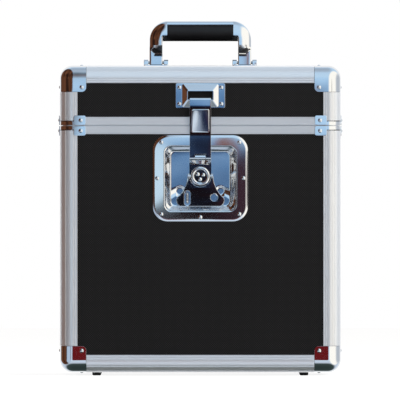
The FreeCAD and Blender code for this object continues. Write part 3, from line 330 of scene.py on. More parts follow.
class FinishSettings(bpy.types.PropertyGroup):
    """Colours and roughness of the finishes."""

    chrome: colour("Chrome", (0.82, 0.84, 0.87), "Polished plating")
    chrome_rough: share("Chrome roughness", 0.05, "Roughness of the plating")
    crown: length("Crown", 1900.0, "Radius at which flat plated sheet is shaded as domed")
    crown_level: share("Crown level", 0.57, "Height of that dome's middle, as a share of the case's")
    crown_base: share("Base crown level", 0.8, "The same on the base's ball corners")
    crown_lid: share("Lid crown level", 0.45, "The same on the lid's ball corners")
    crown_clip: share("Clip crown level", 0.25, "The same on the rim clips")
    dish_rough: share("Dish roughness", 0.09, "Roughness of the dish")
    dish_crown: length("Dish crown", 600.0, "Radius at which the dish's flange is shaded as domed")
    dish_drop: length("Dish crown drop", 8.0, "The dome's middle below the flange's")
    dish_lean: share("Dish lean", 0.062, "Slope at which the pan's floor is shaded as tipped back")
    dish_wave: length("Dish wave", 0.4, "Height of the slow waves in the dish's sheet")
    aluminium: colour("Aluminium", (0.90, 0.92, 0.95), "Satin anodised sections")
    aluminium_rough: share("Aluminium roughness", 0.36, "Roughness of the sections")
    laminate: colour("Laminate", (0.0035, 0.0035, 0.0036), "Black board facing")
    laminate_dot: colour("Laminate dots", (0.037, 0.036, 0.037), "Raised dots of the facing")
    laminate_pitch: length("Dot pitch", 2.75, "Distance between dots along a row")
    laminate_row: length("Dot row", 1.4, "Distance between staggered rows")
    lining: length("Lining", 1.5, "Thickness of the felt lining")
    lining_gap: length("Lining gap", 0.2, "Gap round the lining sheets")
    pad_edge: length("Pad edge", 1.5, "Rounding of the foam pads' edges")
    pad_crown: length("Pad crown", 1.2, "How far the foam pads swell towards the middle")
    rubber: colour("Rubber", (0.016, 0.016, 0.017), "Feet")
    grip: colour("Grip", (0.0055, 0.0055, 0.0065), "Moulded grip")
    felt: colour("Felt", (0.022, 0.022, 0.024), "Lining")
    foam: colour("Foam", (0.030, 0.030, 0.032), "Pads")
    steel: colour("Steel", (0.56, 0.57, 0.59), "Pins and screws")
    steel_rough: share("Steel roughness", 0.16, "Roughness of pins and screws")
    paint: colour("Paint", (0.030, 0.030, 0.033), "Cover behind the latch")


class StudioSettings(bpy.types.PropertyGroup):
    """Camera, lamps and backdrop."""

    distance: length("Camera distance", 20000.0, "Camera's distance from the front")
    view_width: length("View width", 501.1, "Width that the frame shows at the front")
    aim_x: length("Aim X", -0.4, "Point at the middle of the frame, across")
    aim_z: length("Aim Z", 220.1, "Point at the middle of the frame, up")
    elevation: share("Elevation", 0.1, "Camera's height angle in degrees")
    floor_reach: length("Floor reach", 6000.0, "Radius of the floor")


# Mesh tools: every shape is whole arrays of points, joined by faces over their grid


def grid_faces(rows, cols, wrap_rows=False, wrap_cols=True):
    """Four-sided faces over a grid of rows by cols points, with either direction closed on itself."""
    r, c = np.meshgrid(
        np.arange(rows if wrap_rows else rows - 1), np.arange(cols if wrap_cols else cols - 1), indexing="ij"
    )
    r_next = (r + 1) % rows
    c_next = (c + 1) % cols
    faces = np.stack([r * cols + c, r * cols + c_next, r_next * cols + c_next, r_next * cols + c], axis=-1)
    return faces.reshape(-1, 4).tolist()


def stacked(rings, wrap=False):
    """A skin over rings of equal length, with its first and last ring closed by a face unless it wraps."""
    rings = np.asarray(rings, float)
    rows, cols = rings.shape[:2]
    faces = grid_faces(rows, cols, wrap_rows=wrap)
    if not wrap:
        faces.append(list(range(cols))[::-1])
        faces.append(list(range((rows - 1) * cols, rows * cols)))
    return rings.reshape(-1, 3), faces


def frame_of(axis):
    """Two unit vectors square to an axis and to each other."""
    axis = np.asarray(axis, float)
    helper = Z if abs(axis[2]) < 0.9 else X
    first = np.cross(helper, axis)
    first /= np.linalg.norm(first)
    return first, np.cross(axis, first)


def lathe(profile, origin, axis, steps=40):
    """(radius, along) pairs turned round an axis: point = origin + along * axis + radius * ray."""
    profile = np.asarray(profile, float)
    axis = np.asarray(axis, float)
    first, second = frame_of(axis)
    turn = np.linspace(0, 2 * math.pi, steps, endpoint=False)
    rays = np.cos(turn)[:, None] * first + np.sin(turn)[:, None] * second
    along = profile[:, 1, None, None] * axis
    return stacked(np.asarray(origin) + along + np.maximum(profile[:, 0, None, None], TINY) * rays)


def drum_profile(radius, start, end, edge, steps=3):
    """The (radius, along) pairs of a short drum with rounded edges, closed at both ends."""
    turn = np.radians(np.linspace(0, 90, steps + 1))
    low = np.column_stack([radius - edge + edge * np.sin(turn), start + edge - edge * np.cos(turn)])
    high = np.column_stack([radius - edge + edge * np.cos(turn), end - edge + edge * np.sin(turn)])
    return np.concatenate([[[0, start]], low, high, [[0, end]]])


def dome_profile(radius, height, sink, steps=7):
    """The pairs of a low dome, a part of a sphere, on a short skirt."""
    bow = (radius ** 2 + height ** 2) / (2 * height)
    angle = np.linspace(math.asin(min(1.0, radius / bow)), 0.0, steps)
    cap = np.column_stack([bow * np.sin(angle), height - bow + bow * np.cos(angle)])
    return np.concatenate([[[0, -sink], [radius, -sink]], cap])


def arc_points(centre, radius, start, stop, steps):
    """Points on an arc in a plane between two angles in degrees, ends included."""
    angle = np.radians(np.linspace(start, stop, steps + 1))
    return np.column_stack([centre[0] + radius * np.cos(angle), centre[1] + radius * np.sin(angle)])


def arc_through(a, b, c, steps=12):
    """Points on the circle through three points of a plane, from the first past the second to the third."""
    a, b, c = (complex(*p) for p in (a, b, c))
    w = (c - a) / (b - a)
    centre = (b - a) * (w - abs(w) ** 2) / (2j * w.imag) + a
    start = np.angle(a - centre)
    sweep = np.angle((c - centre) / (a - centre))
    middle = np.angle((b - centre) / (a - centre))
    if sweep * middle < 0 or abs(middle) > abs(sweep):
        sweep -= math.copysign(2 * math.pi, sweep)
    turn = start + np.linspace(0, sweep, steps + 1)
    points = centre + abs(a - centre) * np.exp(1j * turn)
    return np.column_stack([points.real, points.imag])


def round_ring(half_u, half_v, radius, corner_steps=8, side_steps=4):
    """Points round a rectangle with round corners, with the same count on every such ring."""
    radius = max(min(radius, half_u, half_v), TINY)
    runs = []
    for quarter, (sign_u, sign_v) in enumerate(((1, 1), (-1, 1), (-1, -1), (1, -1))):
        centre = (sign_u * (half_u - radius), sign_v * (half_v - radius))
        runs.append(arc_points(centre, radius, 90 * quarter, 90 * quarter + 90, corner_steps))
    points = []
    for index, run in enumerate(runs):
        after = runs[(index + 1) % 4][0]
        blend = np.linspace(0, 1, side_steps + 1)[1:-1, None]
        points += [run, run[-1] * (1 - blend) + after * blend]
    return np.concatenate(points)


def runs_along(path):
    """How far along a path each of its points lies."""
    return np.concatenate([[0], np.cumsum(np.linalg.norm(np.diff(path, axis=0), axis=1))])


def resampled(path, count):
    """A path's points set again at equal steps of its length."""
    runs = runs_along(path)
    places = np.linspace(0, runs[-1], count)
    return np.column_stack([np.interp(places, runs, path[:, axis]) for axis in range(2)])


def filleted(points, bends, steps, place=(0, 1)):
    """An open path whose inner corners are rounded, each by a quadratic bend of its own reach.

    Only a point's values at the indices in place count for the reach, and all its values change together.
    """
    points = np.asarray(points, float)
    place = list(place)
    t = np.linspace(0, 1, steps + 1)[:, None]
    path = [points[:1]]
    for before, corner, after, bend in zip(points[:-2], points[1:-1], points[2:], bends):
        ways = (before - corner, after - corner)
        start, end = (corner + way * min(0.5, bend / np.linalg.norm(way[place])) for way in ways)
        path.append((1 - t) ** 2 * start + 2 * t * (1 - t) * corner + t ** 2 * end)
    path.append(points[-1:])
    return np.concatenate(path)


def swept(outline, origin, u_axis, v_axis, run, start, end):
    """A closed outline (u, v) carried straight from start to end along a run."""
    outline = np.asarray(outline, float)
    flat = np.asarray(origin) + outline[:, 0, None] * u_axis + outline[:, 1, None] * v_axis
    return stacked([flat + np.asarray(run) * start, flat + np.asarray(run) * end])


def tube(path, radius, steps=16):
    """A round wire along a smooth open path of points, with closed ends."""
    path = np.asarray(path, float)
    tangent = np.gradient(path, axis=0)
    tangent /= np.linalg.norm(tangent, axis=1)[:, None]
    side = np.cross(tangent, X)
    side /= np.linalg.norm(side, axis=1)[:, None]
    up = np.cross(side, tangent)
    turn = np.linspace(0, 2 * math.pi, steps, endpoint=False)
    rays = np.cos(turn)[None, :, None] * side[:, None] + np.sin(turn)[None, :, None] * up[:, None]
    return stacked(path[:, None] + radius * rays)


def plate(outlines, thickness, edge, cuts=()):
    """A flat plate with holes, its edges rounded, as points (x, y, n) and faces; n runs through it.

    The first outline is the plate's edge and the others are its holes. The plate is cut across at each
    value of y in cuts, so that it can be bent there.
    """
    curve = bpy.data.curves.new("plate", "CURVE")
    curve.dimensions = "2D"
    curve.fill_mode = "BOTH"
    curve.extrude = thickness / 2 - edge
    curve.bevel_depth = edge
    curve.bevel_resolution = 1
    curve.offset = -edge
    for outline in outlines:
        outline = np.asarray(outline, float)
        spline = curve.splines.new("POLY")
        spline.points.add(len(outline) - 1)
        spline.use_cyclic_u = True
        four = np.concatenate([outline, np.zeros((len(outline), 1)), np.ones((len(outline), 1))], axis=1)
        spline.points.foreach_set("co", four.ravel())
    holder = bpy.data.objects.new("plate", curve)
    bpy.context.scene.collection.objects.link(holder)
    bpy.context.view_layer.update()
    flat = bpy.data.meshes.new_from_object(holder)
    work = bmesh.new()
    work.from_mesh(flat)
    bmesh.ops.remove_doubles(work, verts=work.verts, dist=edge / 50)
    for level in cuts:
        geometry = work.verts[:] + work.edges[:] + work.faces[:]
        bmesh.ops.bisect_plane(work, geom=geometry, plane_co=(0, level, 0), plane_no=(0, 1, 0))
    work.verts.index_update()
    points = np.array([vert.co[:] for vert in work.verts])
    faces = [[vert.index for vert in face.verts] for face in work.faces]
    work.free()
    bpy.data.objects.remove(holder)
    bpy.data.meshes.remove(flat)
    bpy.data.curves.remove(curve)
    return points, faces


def put(skin, origin, x_axis, y_axis, n_axis):
    """A plate's skin placed by an origin and the directions of its x, y and n."""
    points, faces = skin
    placed = points[:, 0, None] * x_axis + points[:, 1, None] * y_axis + points[:, 2, None] * n_axis
    return np.asarray(origin) + placed, faces


def new_piece(name, skins, sharp=32.0):
    """One mesh object of several skins, with doubles merged, faces outwards and smooth shading."""
    counts = np.cumsum([0] + [len(points) for points, faces in skins])
    faces = [[index + shift for index in face] for shift, (_, part) in zip(counts, skins) for face in part]
    mesh = bpy.data.meshes.new(name)
    mesh.from_pydata(np.concatenate([points for points, part in skins]).tolist(), [], faces)
    clean = bmesh.new()
    clean.from_mesh(mesh)
    bmesh.ops.remove_doubles(clean, verts=clean.verts, dist=2e-6)
    bmesh.ops.recalc_face_normals(clean, faces=clean.faces)
    clean.to_mesh(mesh)
    clean.free()
    mesh.shade_smooth()
    mesh.set_sharp_from_angle(angle=math.radians(sharp))
    piece = bpy.data.objects.new(name, mesh)
    bpy.context.scene.collection.objects.link(piece)
    return piece


def rounded(piece, width, segments=2, angle=40.0):
    """Round a piece's sharp edges by a Bevel modifier."""
    bevel = piece.modifiers.new("edges", "BEVEL")
    bevel.width = width
    bevel.segments = segments
    bevel.limit_method = "ANGLE"
    bevel.angle_limit = math.radians(angle)
    bevel.harden_normals = True
    return piece


def dress(piece, material, node):
    """Give a piece its finish, and let it stand for a packed node and ride with its body."""
    piece.data.materials.clear()
    piece.data.materials.append(material)
    normals = piece.modifiers.new("normals", "WEIGHTED_NORMAL")
    normals.weight = 100
    normals.keep_sharp = True
    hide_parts(node)
    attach(piece, BODY_OF[node])
    return piece


def add_piece(name, skins, material, node, sharp=32.0):
    """A finished piece made of skins, which stands for one packed node."""
    return dress(new_piece(name, skins, sharp), material, node)


def finish_node(node, material):
    """Give a packed node's own mesh a finish."""
    piece = frame["nodes"][node]
    piece.data.materials.clear()
    piece.data.materials.append(material)


# Finishes


class Tree:
    """A node tree with short methods: each adds a node and returns the socket that it gives."""

    def __init__(self, owner):
        owner.use_nodes = True
        self.nodes = owner.node_tree.nodes
        self.links = owner.node_tree.links

    def fill(self, node, inputs):
        """Give a node's inputs, by name or number, each a link from another socket or a plain value."""
        for key, value in inputs.items():
            if isinstance(value, bpy.types.NodeSocket):
                self.links.new(value, node.inputs[key])
            else:
                node.inputs[key].default_value = value

    def add(self, kind, inputs, **settings):
        """A new node with its settings and inputs."""
        node = self.nodes.new("ShaderNode" + kind)
        for name, value in settings.items():
            setattr(node, name, value)
        self.fill(node, inputs)
        return node

    def coords(self, scale=(1.0, 1.0, 1.0)):
        """The piece's own coordinates, scaled along each axis."""
        own = self.add("TexCoord", {}).outputs["Object"]
        return self.add("Mapping", {"Vector": own, "Scale": scale}).outputs["Vector"]

    def axes(self, vector):
        """A vector's parts, under X, Y and Z."""
        return self.add("SeparateXYZ", {"Vector": vector}).outputs

    def noise(self, vector, scale, detail=3.0, roughness=0.5):
        """A noise texture's value over a vector."""
        inputs = {"Vector": vector, "Scale": scale, "Detail": detail, "Roughness": roughness}
        return self.add("TexNoise", inputs).outputs["Fac"]

    def spread(self, value, low, high, from_low=0.3, from_high=0.7, kind="LINEAR"):
        """A value mapped from one range, a noise's usual one unless given, to another."""
        inputs = {"Value": value, "From Min": from_low, "From Max": from_high, "To Min": low, "To Max": high}
        return self.add("MapRange", inputs, interpolation_type=kind).outputs["Result"]

    def blend(self, fac, first, second):
        """Two colours mixed by a value, each a socket or a plain (red, green, blue)."""
        ends = [(*tint, 1.0) if isinstance(tint, tuple) else tint for tint in (first, second)]
        return self.add("Mix", {0: fac, 6: ends[0], 7: ends[1]}, data_type="RGBA").outputs[2]

    def bump(self, height, distance, strength=1.0):
        """A bump from a height value, for the shader's normal."""
        inputs = {"Height": height, "Distance": distance, "Strength": strength}
        return self.add("Bump", inputs).outputs["Normal"]

    def calc(self, operation, first, second=0.0):
        """A math node over two inputs."""
        return self.add("Math", {0: first, 1: second}, operation=operation).outputs[0]

    def times(self, first, second):
        """The product of two inputs."""
        return self.calc("MULTIPLY", first, second)

    def plus(self, first, second):
        """The sum of two inputs."""
        return self.calc("ADD", first, second)

    def dot(self, first, second):
        """The dot product of two vectors."""
        return self.add("VectorMath", {0: first, 1: second}, operation="DOT_PRODUCT").outputs["Value"]

    def crowned(self, vector, centre, radius):
        """A height of -|p - centre|^2 / (2 radius): flat sheet then reflects as if slightly domed."""
        offset = self.add("VectorMath", {0: vector, 1: centre}, operation="SUBTRACT").outputs[0]
        return self.times(self.dot(offset, offset), -0.5 / radius)


def new_finish(name):
    """A new material, its tree and its principled shader."""
    material = bpy.data.materials.new(name)
    tree = Tree(material)
    return material, tree, tree.nodes["Principled BSDF"]


def toned(tint, factor, lift=0.0):
    """A colour made darker or lighter."""
    return tuple(channel * factor + lift for channel in tint)


def plated(name, tint, rough, centre, radius, lean=0.0, wave=0.9 * MM):
    """Polished plating: a mirror with faint smears and slow waves, on sheet that is slightly domed.

    With a lean, what lies deep behind the front board tips back by that slope and is domed less.
    """
    material, tree, shader = new_finish(name)
    vector = tree.coords()
    smear = tree.noise(vector, 45.0, 4.0, 0.6)
    height = tree.crowned(vector, centre, radius)
    if lean:
        deep_from, deep_to, flattening = 2.0 * MM, 10.0 * MM, 0.88
        parts = tree.axes(vector)
        deep = tree.spread(parts["Y"], 0.0, 1.0, PANEL_Y + deep_from, PANEL_Y + deep_to)
        tip = tree.times(tree.times(tree.calc("SUBTRACT", parts["Z"], centre[2]), -lean), deep)
        less = tree.calc("SUBTRACT", 1.0, tree.times(deep, flattening))
        height = tree.plus(tree.times(height, less), tip)
    waves = tree.times(tree.noise(vector, 17.0, 1.0), wave)
    tree.fill(shader, {
        "Base Color": tree.blend(smear, toned(tint, 0.94), tint),
        "Roughness": tree.spread(smear, rough, rough + 0.03),
        "Normal": tree.bump(tree.plus(height, waves), 1.0),
        "Metallic": 1.0,
    })
    return material


def drawn(name, tint, rough, axis):
    """Satin anodised aluminium, with fine lines along the section and a little unevenness in its sheen."""
    material, tree, shader = new_finish(name)
    stretch = [1.0, 1.0, 1.0]
    stretch[axis] = 0.002
    lines = tree.noise(tree.coords(stretch), 2600.0, 3.0, 0.6)
    cloud = tree.noise(tree.coords(), 30.0)
    both = tree.times(lines, tree.plus(cloud, 0.5))
    tree.fill(shader, {
        "Base Color": tree.blend(both, toned(tint, 0.95), tint),
        "Roughness": tree.spread(both, rough - 0.03, rough + 0.03),
        "Normal": tree.bump(lines, 0.004 * MM, 0.35),
        "Metallic": 0.8,
    })
    return material


def laminate(name, settings, across, up):
    """Black facing with staggered raised dots: cos(2 pi a / pitch) * cos(pi b / row) peaks on each dot."""
    material, tree, shader = new_finish(name)
    vector = tree.coords()
    parts = tree.axes(vector)
    wave_a = tree.calc("COSINE", tree.times(parts[across], 2 * math.pi / settings.laminate_pitch))
    wave_b = tree.calc("COSINE", tree.times(parts[up], math.pi / settings.laminate_row))
    top = tree.spread(tree.times(wave_a, wave_b), 0.0, 1.0, 0.1, 0.75)
    grain = tree.noise(vector, 1400.0)
    speck = tree.times(top, tree.spread(grain, 0.55, 1.0))
    height = tree.plus(top, tree.times(grain, 0.25))
    tree.fill(shader, {
        "Base Color": tree.blend(speck, tuple(settings.laminate), tuple(settings.laminate_dot)),
        "Roughness": tree.spread(tree.noise(vector, 14.0), 0.40, 0.50),
        "Normal": tree.bump(height, 0.16 * MM, 0.6),
        "Specular IOR Level": 0.10,
    })
    return material


def moulded(name, tint, rough, grain_scale, depth):
    """Moulded plastic or rubber: a fine pitted grain in its colour, sheen and surface."""
    material, tree, shader = new_finish(name)
    vector = tree.coords()
    grain = tree.noise(vector, grain_scale, 4.0, 0.6)
    tree.fill(shader, {
        "Base Color": tree.blend(tree.noise(vector, 60.0), tint, toned(tint, 1.5, 0.002)),
        "Roughness": tree.spread(grain, rough - 0.06, rough + 0.08),
        "Normal": tree.bump(grain, depth, 0.5),
        "Specular IOR Level": 0.35,
    })
    return material


def napped(name, tint, fibre_scale, depth):
    """Felt or foam: short fibres or cells in its colour and surface, with a soft sheen."""
    material, tree, shader = new_finish(name)
    vector = tree.coords()
    fibre = tree.noise(vector, fibre_scale, 6.0, 0.75)
    both = tree.times(fibre, tree.plus(tree.noise(vector, 25.0), 0.5))
    tree.fill(shader, {
        "Base Color": tree.blend(both, tint, toned(tint, 2.4, 0.006)),
        "Normal": tree.bump(both, depth, 0.8),
        "Roughness": 0.95,
        "Sheen Weight": 0.25,
        "Sheen Roughness": 0.5,
    })
    return material


def shared(name, make, *values):
    """A finish that several pieces use: made on first use and found again by its name."""
    return bpy.data.materials.get(name) or make(name, *values)


def chrome(name="polished_chrome", level="crown_level", metal="chrome"):
    """Polished metal in one of the settings' colours, domed about one of their levels."""
    settings = bpy.context.scene.case_finish
    middle = (0.0, 0.0, TOP_Z * getattr(settings, level))
    rough = getattr(settings, metal + "_rough")
    return shared(name, plated, tuple(getattr(settings, metal)), rough, middle, settings.crown)


def steel():
    """The bright steel of pins and screws."""
    return chrome("bright_steel", metal="steel")


def aluminium(axis):
    """The satin sections' finish, with its lines along one axis."""
    settings = bpy.context.scene.case_finish
    name = "satin_aluminium_" + "xyz"[axis]
    return shared(name, drawn, tuple(settings.aluminium), settings.aluminium_rough, axis)


def facing(across, up):
    """The laminate for a board that lies in the plane of two axes."""
    settings = bpy.context.scene.case_finish
    return shared("dotted_laminate_" + "xyz"[across] + "xyz"[up], laminate, settings, across, up)


# Where like pieces stand


def upright_corners():
    """The four upright corner lines: their point in plan and their two inward directions."""
    for side_x, side_y in ((-1, -1), (1, -1), (1, 1), (-1, 1)):
        yield np.array([side_x * HALF_WIDTH, side_y * HALF_DEPTH, 0.0]), -side_x * X, -side_y * Y


def corner_ends():
    """The base and the lid: body, height of the end and the direction into the case."""
    return (("base", FLOOR_Z, Z), ("lid", TOP_Z, -Z))


def faces_round():
    """The four walls: inward direction, direction along the wall, distance to it and half its run."""
    for inward in (Y, -Y, X, -X):
        run = np.cross(Z, inward)
        across = abs(inward[1]) > 0
        yield inward, run, (HALF_DEPTH if across else HALF_WIDTH), (HALF_WIDTH if across else HALF_DEPTH)


# Aluminium sections


def flute(place, sizes):
    """Points (u, v) of a fine round groove in the face v = 0, as a part of a circle above it."""
    half = math.sqrt(sizes.flute_radius ** 2 - sizes.flute_lift ** 2)
    place_shares = np.array([1.0, 0.6, 0.0, -0.6, -1.0])
    offset = place_shares * half
    depth = np.sqrt(sizes.flute_radius ** 2 - offset ** 2) - sizes.flute_lift
    return np.column_stack([place + offset, np.maximum(depth, 0.0)])


def section_outline(sizes):
    """An edge section: half its outline from the diagonal along a leg and back, then its mirror image."""
    radius = sizes.radius
    centre = (radius, radius)
    turned = flute(0.0, sizes)
    reach = radius - turned[::-1, 1]
    angle = np.radians(270 - sizes.flute_turn) + turned[::-1, 0] / radius
    on_round = np.column_stack([radius + reach * np.cos(angle), radius + reach * np.sin(angle)])
    before = arc_points(centre, radius, 225, math.degrees(angle[0]), 4)[:-1]
    after = arc_points(centre, radius, math.degrees(angle[-1]), 270, 8)[1:]
    inner = radius - sizes.skin
    stop = 270 - math.degrees(math.asin(sizes.skin / inner))
    leg = np.array([
        (sizes.band - sizes.chamfer, 0),
        (sizes.band, sizes.chamfer),
        (sizes.band, sizes.skin),
        (radius, sizes.skin),
        (radius, sizes.lip_back - sizes.skin),
        (sizes.lip_reach, sizes.lip_back - sizes.skin),
        (sizes.lip_reach, sizes.lip_back),
        (inner, sizes.lip_back),
    ])
    flutes = [flute(sizes.flute_inner, sizes)[::-1], flute(sizes.flute_outer, sizes)[::-1]]
    back = arc_points(centre, inner, stop, 225, 6)
    half = np.concatenate([before, on_round, after, *flutes, leg, back])
    return np.concatenate([half, half[::-1, ::-1][1:-1]])


class CASE_OT_sections(bpy.types.Operator):
    """Add the aluminium edge sections of the base and the lid"""

    bl_idname = "case.sections"
    bl_label = "Edge sections"

    def execute(self, context):
        sizes = context.scene.case_sections
        outline = section_outline(sizes)
        gap = sizes.split_gap
        for body, level, upward in corner_ends():
            node = f"{body}_upright_edges"
            low, high = span(node)
            start, end = (low[2], high[2] - gap) if body == "base" else (low[2] + gap, high[2])
            skins = [
                swept(outline, corner, inward_x, inward_y, Z, start, end)
                for corner, inward_x, inward_y in upright_corners()
            ]
            add_piece(f"{body}_upright_sections", skins, aluminium(2), node, sharp=28)
            for label, inward in (("front", Y), ("back", -Y), ("left", X), ("right", -X)):
                node = f"{body}_edge_{label}"
                low, high = span(node)
                axis, run, distance = (0, X, HALF_DEPTH) if abs(inward[1]) > 0 else (1, Y, HALF_WIDTH)
                origin = Z * level - inward * distance
                skin = swept(outline, origin, inward, upward, run, low[axis], high[axis])
                add_piece(f"{body}_section_{label}", [skin], aluminium(axis), node, sharp=28)
        return {"FINISHED"}


def plan_ring(inset, z, radius):
    """The case's plan, so far inside its outer faces, at a height."""
    ring = round_ring(HALF_WIDTH - inset, HALF_DEPTH - inset, radius - inset)
    return np.concatenate([ring, np.full((len(ring), 1), z)], axis=1)


def rim_band(sizes):
    """A rim band's section, as (depth, height from the split): a broken edge, a groove and a bead."""
    end = sizes.rim_height - sizes.bead
    groove = sizes.groove_depth
    return np.array([
        (sizes.rim_chamfer, sizes.split_gap), (0, sizes.rim_chamfer), (0, end - sizes.groove_width),
        (groove, end - sizes.groove_width), (groove, end), (0, end), (0, sizes.rim_height - groove),
        (groove, sizes.rim_height), (sizes.skin, sizes.rim_height), (sizes.skin, sizes.split_gap),
    ])


class CASE_OT_rims(bpy.types.Operator):
    """Add the rims at the split, with the tongue and the groove that locate the lid"""

    bl_idname = "case.rims"
    bl_label = "Rims"

    def execute(self, context):
        sizes = context.scene.case_sections
        back = sizes.board_back
        tongue = back + sizes.skin
        groove_in = back - sizes.tongue_gap
        groove_out = tongue + sizes.tongue_gap
        deep = sizes.tongue + sizes.tongue_gap
        last = groove_out + sizes.skin
        slot = sizes.skin + sizes.split_depth
        lip = [(sizes.skin, sizes.split_gap), (slot, sizes.split_gap), (slot, 0)]
        frames = {
            "base": (-1, lip + [
                (back, 0), (back, -sizes.tongue), (tongue, -sizes.tongue), (tongue, sizes.rim_height),
                (back, sizes.rim_height), (back, sizes.base_web), (sizes.skin, sizes.base_web),
            ]),
            "lid": (1, lip + [
                (groove_in, 0), (groove_in, deep), (groove_out, deep), (groove_out, 0), (last, 0),
                (last, sizes.lid_web), (sizes.lip_back, sizes.lid_web), (sizes.lip_back, sizes.rim_height),
                (back, sizes.rim_height), (back, sizes.lid_web), (sizes.skin, sizes.lid_web),
            ]),
        }
        for body, (away, profile) in frames.items():
            rings = [plan_ring(inset, SPLIT_Z + away * height, sizes.radius) for inset, height in profile]
            skins = [stacked(rings, wrap=True)]
            for inward, run, distance, half_run in faces_round():
                half = half_run - sizes.band - sizes.rim_gap
                origin = Z * SPLIT_Z - inward * distance
                skins.append(swept(rim_band(sizes), origin, inward, Z * away, run, -half, half))
            add_piece(f"{body}_rim_frame", skins, aluminium(0), f"{body}_rim", sharp=28)
        return {"FINISHED"}


# Ball corners, rim clips, rivets and feet


def corner_skins(leg, radius, ear, steps=26):
    """A ball corner's outer skin as three faces alike, with its legs along +X, +Y and +Z.

    A point p of a flat face is drawn to the nearest point q of the square that starts at the edge
    radius, and the surface is q + radius * (p - q) / |p - q|. The far corner's square is turned to a
    quarter disc, so that the ear is round.
    """
    bend = np.linspace(0, radius, steps // 2, endpoint=False)
    side = np.concatenate([bend, np.linspace(radius, leg, steps)])
    b, c = np.meshgrid(side, side, indexing="ij")
    far = leg - ear
    x = np.clip((b - far) / ear, 0, 1)
    y = np.clip((c - far) / ear, 0, 1)
    in_ear = (x > 0) & (y > 0)
    b = np.where(in_ear, far + ear * x * np.sqrt(1 - y ** 2 / 2), b)
    c = np.where(in_ear, far + ear * y * np.sqrt(1 - x ** 2 / 2), c)
    flat = np.stack([np.zeros_like(b), b, c], axis=-1).reshape(-1, 3)
    near = np.maximum(flat, radius)
    ray = flat - near
    points = near + radius * ray / np.linalg.norm(ray, axis=1)[:, None]
    faces = grid_faces(len(side), len(side), wrap_cols=False)
    return [(np.roll(points, turn, axis=1), faces) for turn in range(3)]


def facing_out(piece, inside):
    """Turn every face of an open skin away from a point inside it."""
    work = bmesh.new()
    work.from_mesh(piece.data)
    total = sum(face.normal.dot(face.calc_center_median() - Vector(inside)) for face in work.faces)
    if total < 0:
        bmesh.ops.reverse_faces(work, faces=work.faces)
    work.to_mesh(piece.data)
    work.free()


class CASE_OT_ball_corners(bpy.types.Operator):
    """Add the pressed chrome ball corners"""

    bl_idname = "case.ball_corners"
    bl_label = "Ball corners"

    def execute(self, context):
        sizes = context.scene.case_corners
        skin = corner_skins(sizes.leg, context.scene.case_sections.radius, sizes.ear_radius)
        labels = ("front_left", "front_right", "back_right", "back_left")
        for body, level, upward in corner_ends():
            plating = chrome(f"{body}_corner_chrome", f"crown_{body}")
            for label, (corner, inward_x, inward_y) in zip(labels, upright_corners()):
                origin = corner + Z * level
                axes = np.array([inward_x, inward_y, upward])
                skins = [(origin + points @ axes, faces) for points, faces in skin]
                piece = new_piece(f"{body}_ball_corner_{label}", skins, sharp=60)
                facing_out(piece, origin + (inward_x + inward_y + upward) * sizes.leg)
                shell = piece.modifiers.new("wall", "SOLIDIFY")
                shell.thickness = sizes.wall
                shell.offset = -1.0
                shell.use_even_offset = True
                rounded(piece, sizes.wall * 0.3, 3, 50)
                dress(piece, plating, f"{body}_corner_{label}")
        return {"FINISHED"}


class CASE_OT_rim_clips(bpy.types.Operator):
    """Add the chrome clips round the corners at the split"""

    bl_idname = "case.rim_clips"
    bl_label = "Rim clips"

    def execute(self, context):
        sizes = context.scene.case_corners
        section = context.scene.case_sections
        radius = section.radius
        wall = section.skin
        outer = arc_points((radius, radius), radius, 180, 270, 14)
        inner = arc_points((radius, radius), radius - wall, 270, 180, 14)
        end = section.band
        strip = np.concatenate([[(0, end)], outer, [(end, 0), (end, wall)], inner, [(wall, end)]])
        ear_low = sizes.clip_low
        half_u = (sizes.ear_end - sizes.ear_start) / 2
        half_v = (sizes.ear_height - ear_low) / 2
        outline = round_ring(half_u, half_v, sizes.ear_round) + (sizes.ear_start + half_u, ear_low + half_v)
        ear = plate([outline], sizes.ear_wall, sizes.ear_wall * 0.3)
        for body, away in (("base", -Z), ("lid", Z)):
            skins = []
            for corner, inward_x, inward_y in upright_corners():
                origin = corner + Z * SPLIT_Z
                skins.append(swept(strip, origin, inward_x, inward_y, away, sizes.clip_low, sizes.clip_high))
                for along, inward in ((inward_x, inward_y), (inward_y, inward_x)):
                    skins.append(put(ear, origin - inward * sizes.ear_wall / 2, along, away, -inward))
            piece = rounded(new_piece(f"{body}_corner_clips", skins, sharp=35), 0.2 * MM, 2, 50)
            dress(piece, chrome("clip_chrome", "crown_clip"), f"{body}_rim_clips")
        return {"FINISHED"}


def rivet_places(context, body, level, upward):
    """The places and outward directions of one body's rivets."""
    corners = context.scene.case_corners
    handle = context.scene.case_handle
    hinge = context.scene.case_hinges
    away = -upward
    places = []
    for corner, inward_x, inward_y in upright_corners():
        inwards = (inward_x, inward_y, upward)
        for index, outward in enumerate(inwards):
            others = inwards[index - 1] + inwards[index - 2]
            places.append((corner + Z * level + others * corners.rivet_place, -outward))
        for along, inward in ((inward_x, inward_y), (inward_y, inward_x)):
            point = corner + Z * SPLIT_Z + away * corners.clip_rivet_height + along * corners.clip_rivet
            places.append((point - inward * corners.ear_wall, -inward))
    leaf = hinge.wall + PANEL_BACK_Y
    for side in (-1, 1):
        for shift in (-hinge.spacing, 0.0, hinge.spacing):
            height = hinge.rivet_low if shift else hinge.rivet_high
            place = X * (side * hinge.place + shift) + Y * leaf + Z * SPLIT_Z + away * height
            places.append((place, Y))
    if body == "lid":
        leg_middle = (handle.width - handle.leg) / 2
        for side in (-1, 1):
            for across in (-handle.rivet_across, handle.rivet_across):
                for along in (-handle.rivet_along, handle.rivet_along):
                    point = X * (side * leg_middle + across) + Y * along
                    places.append((point + Z * (TOP_Z + handle.bracket_plate), Z))
    return places


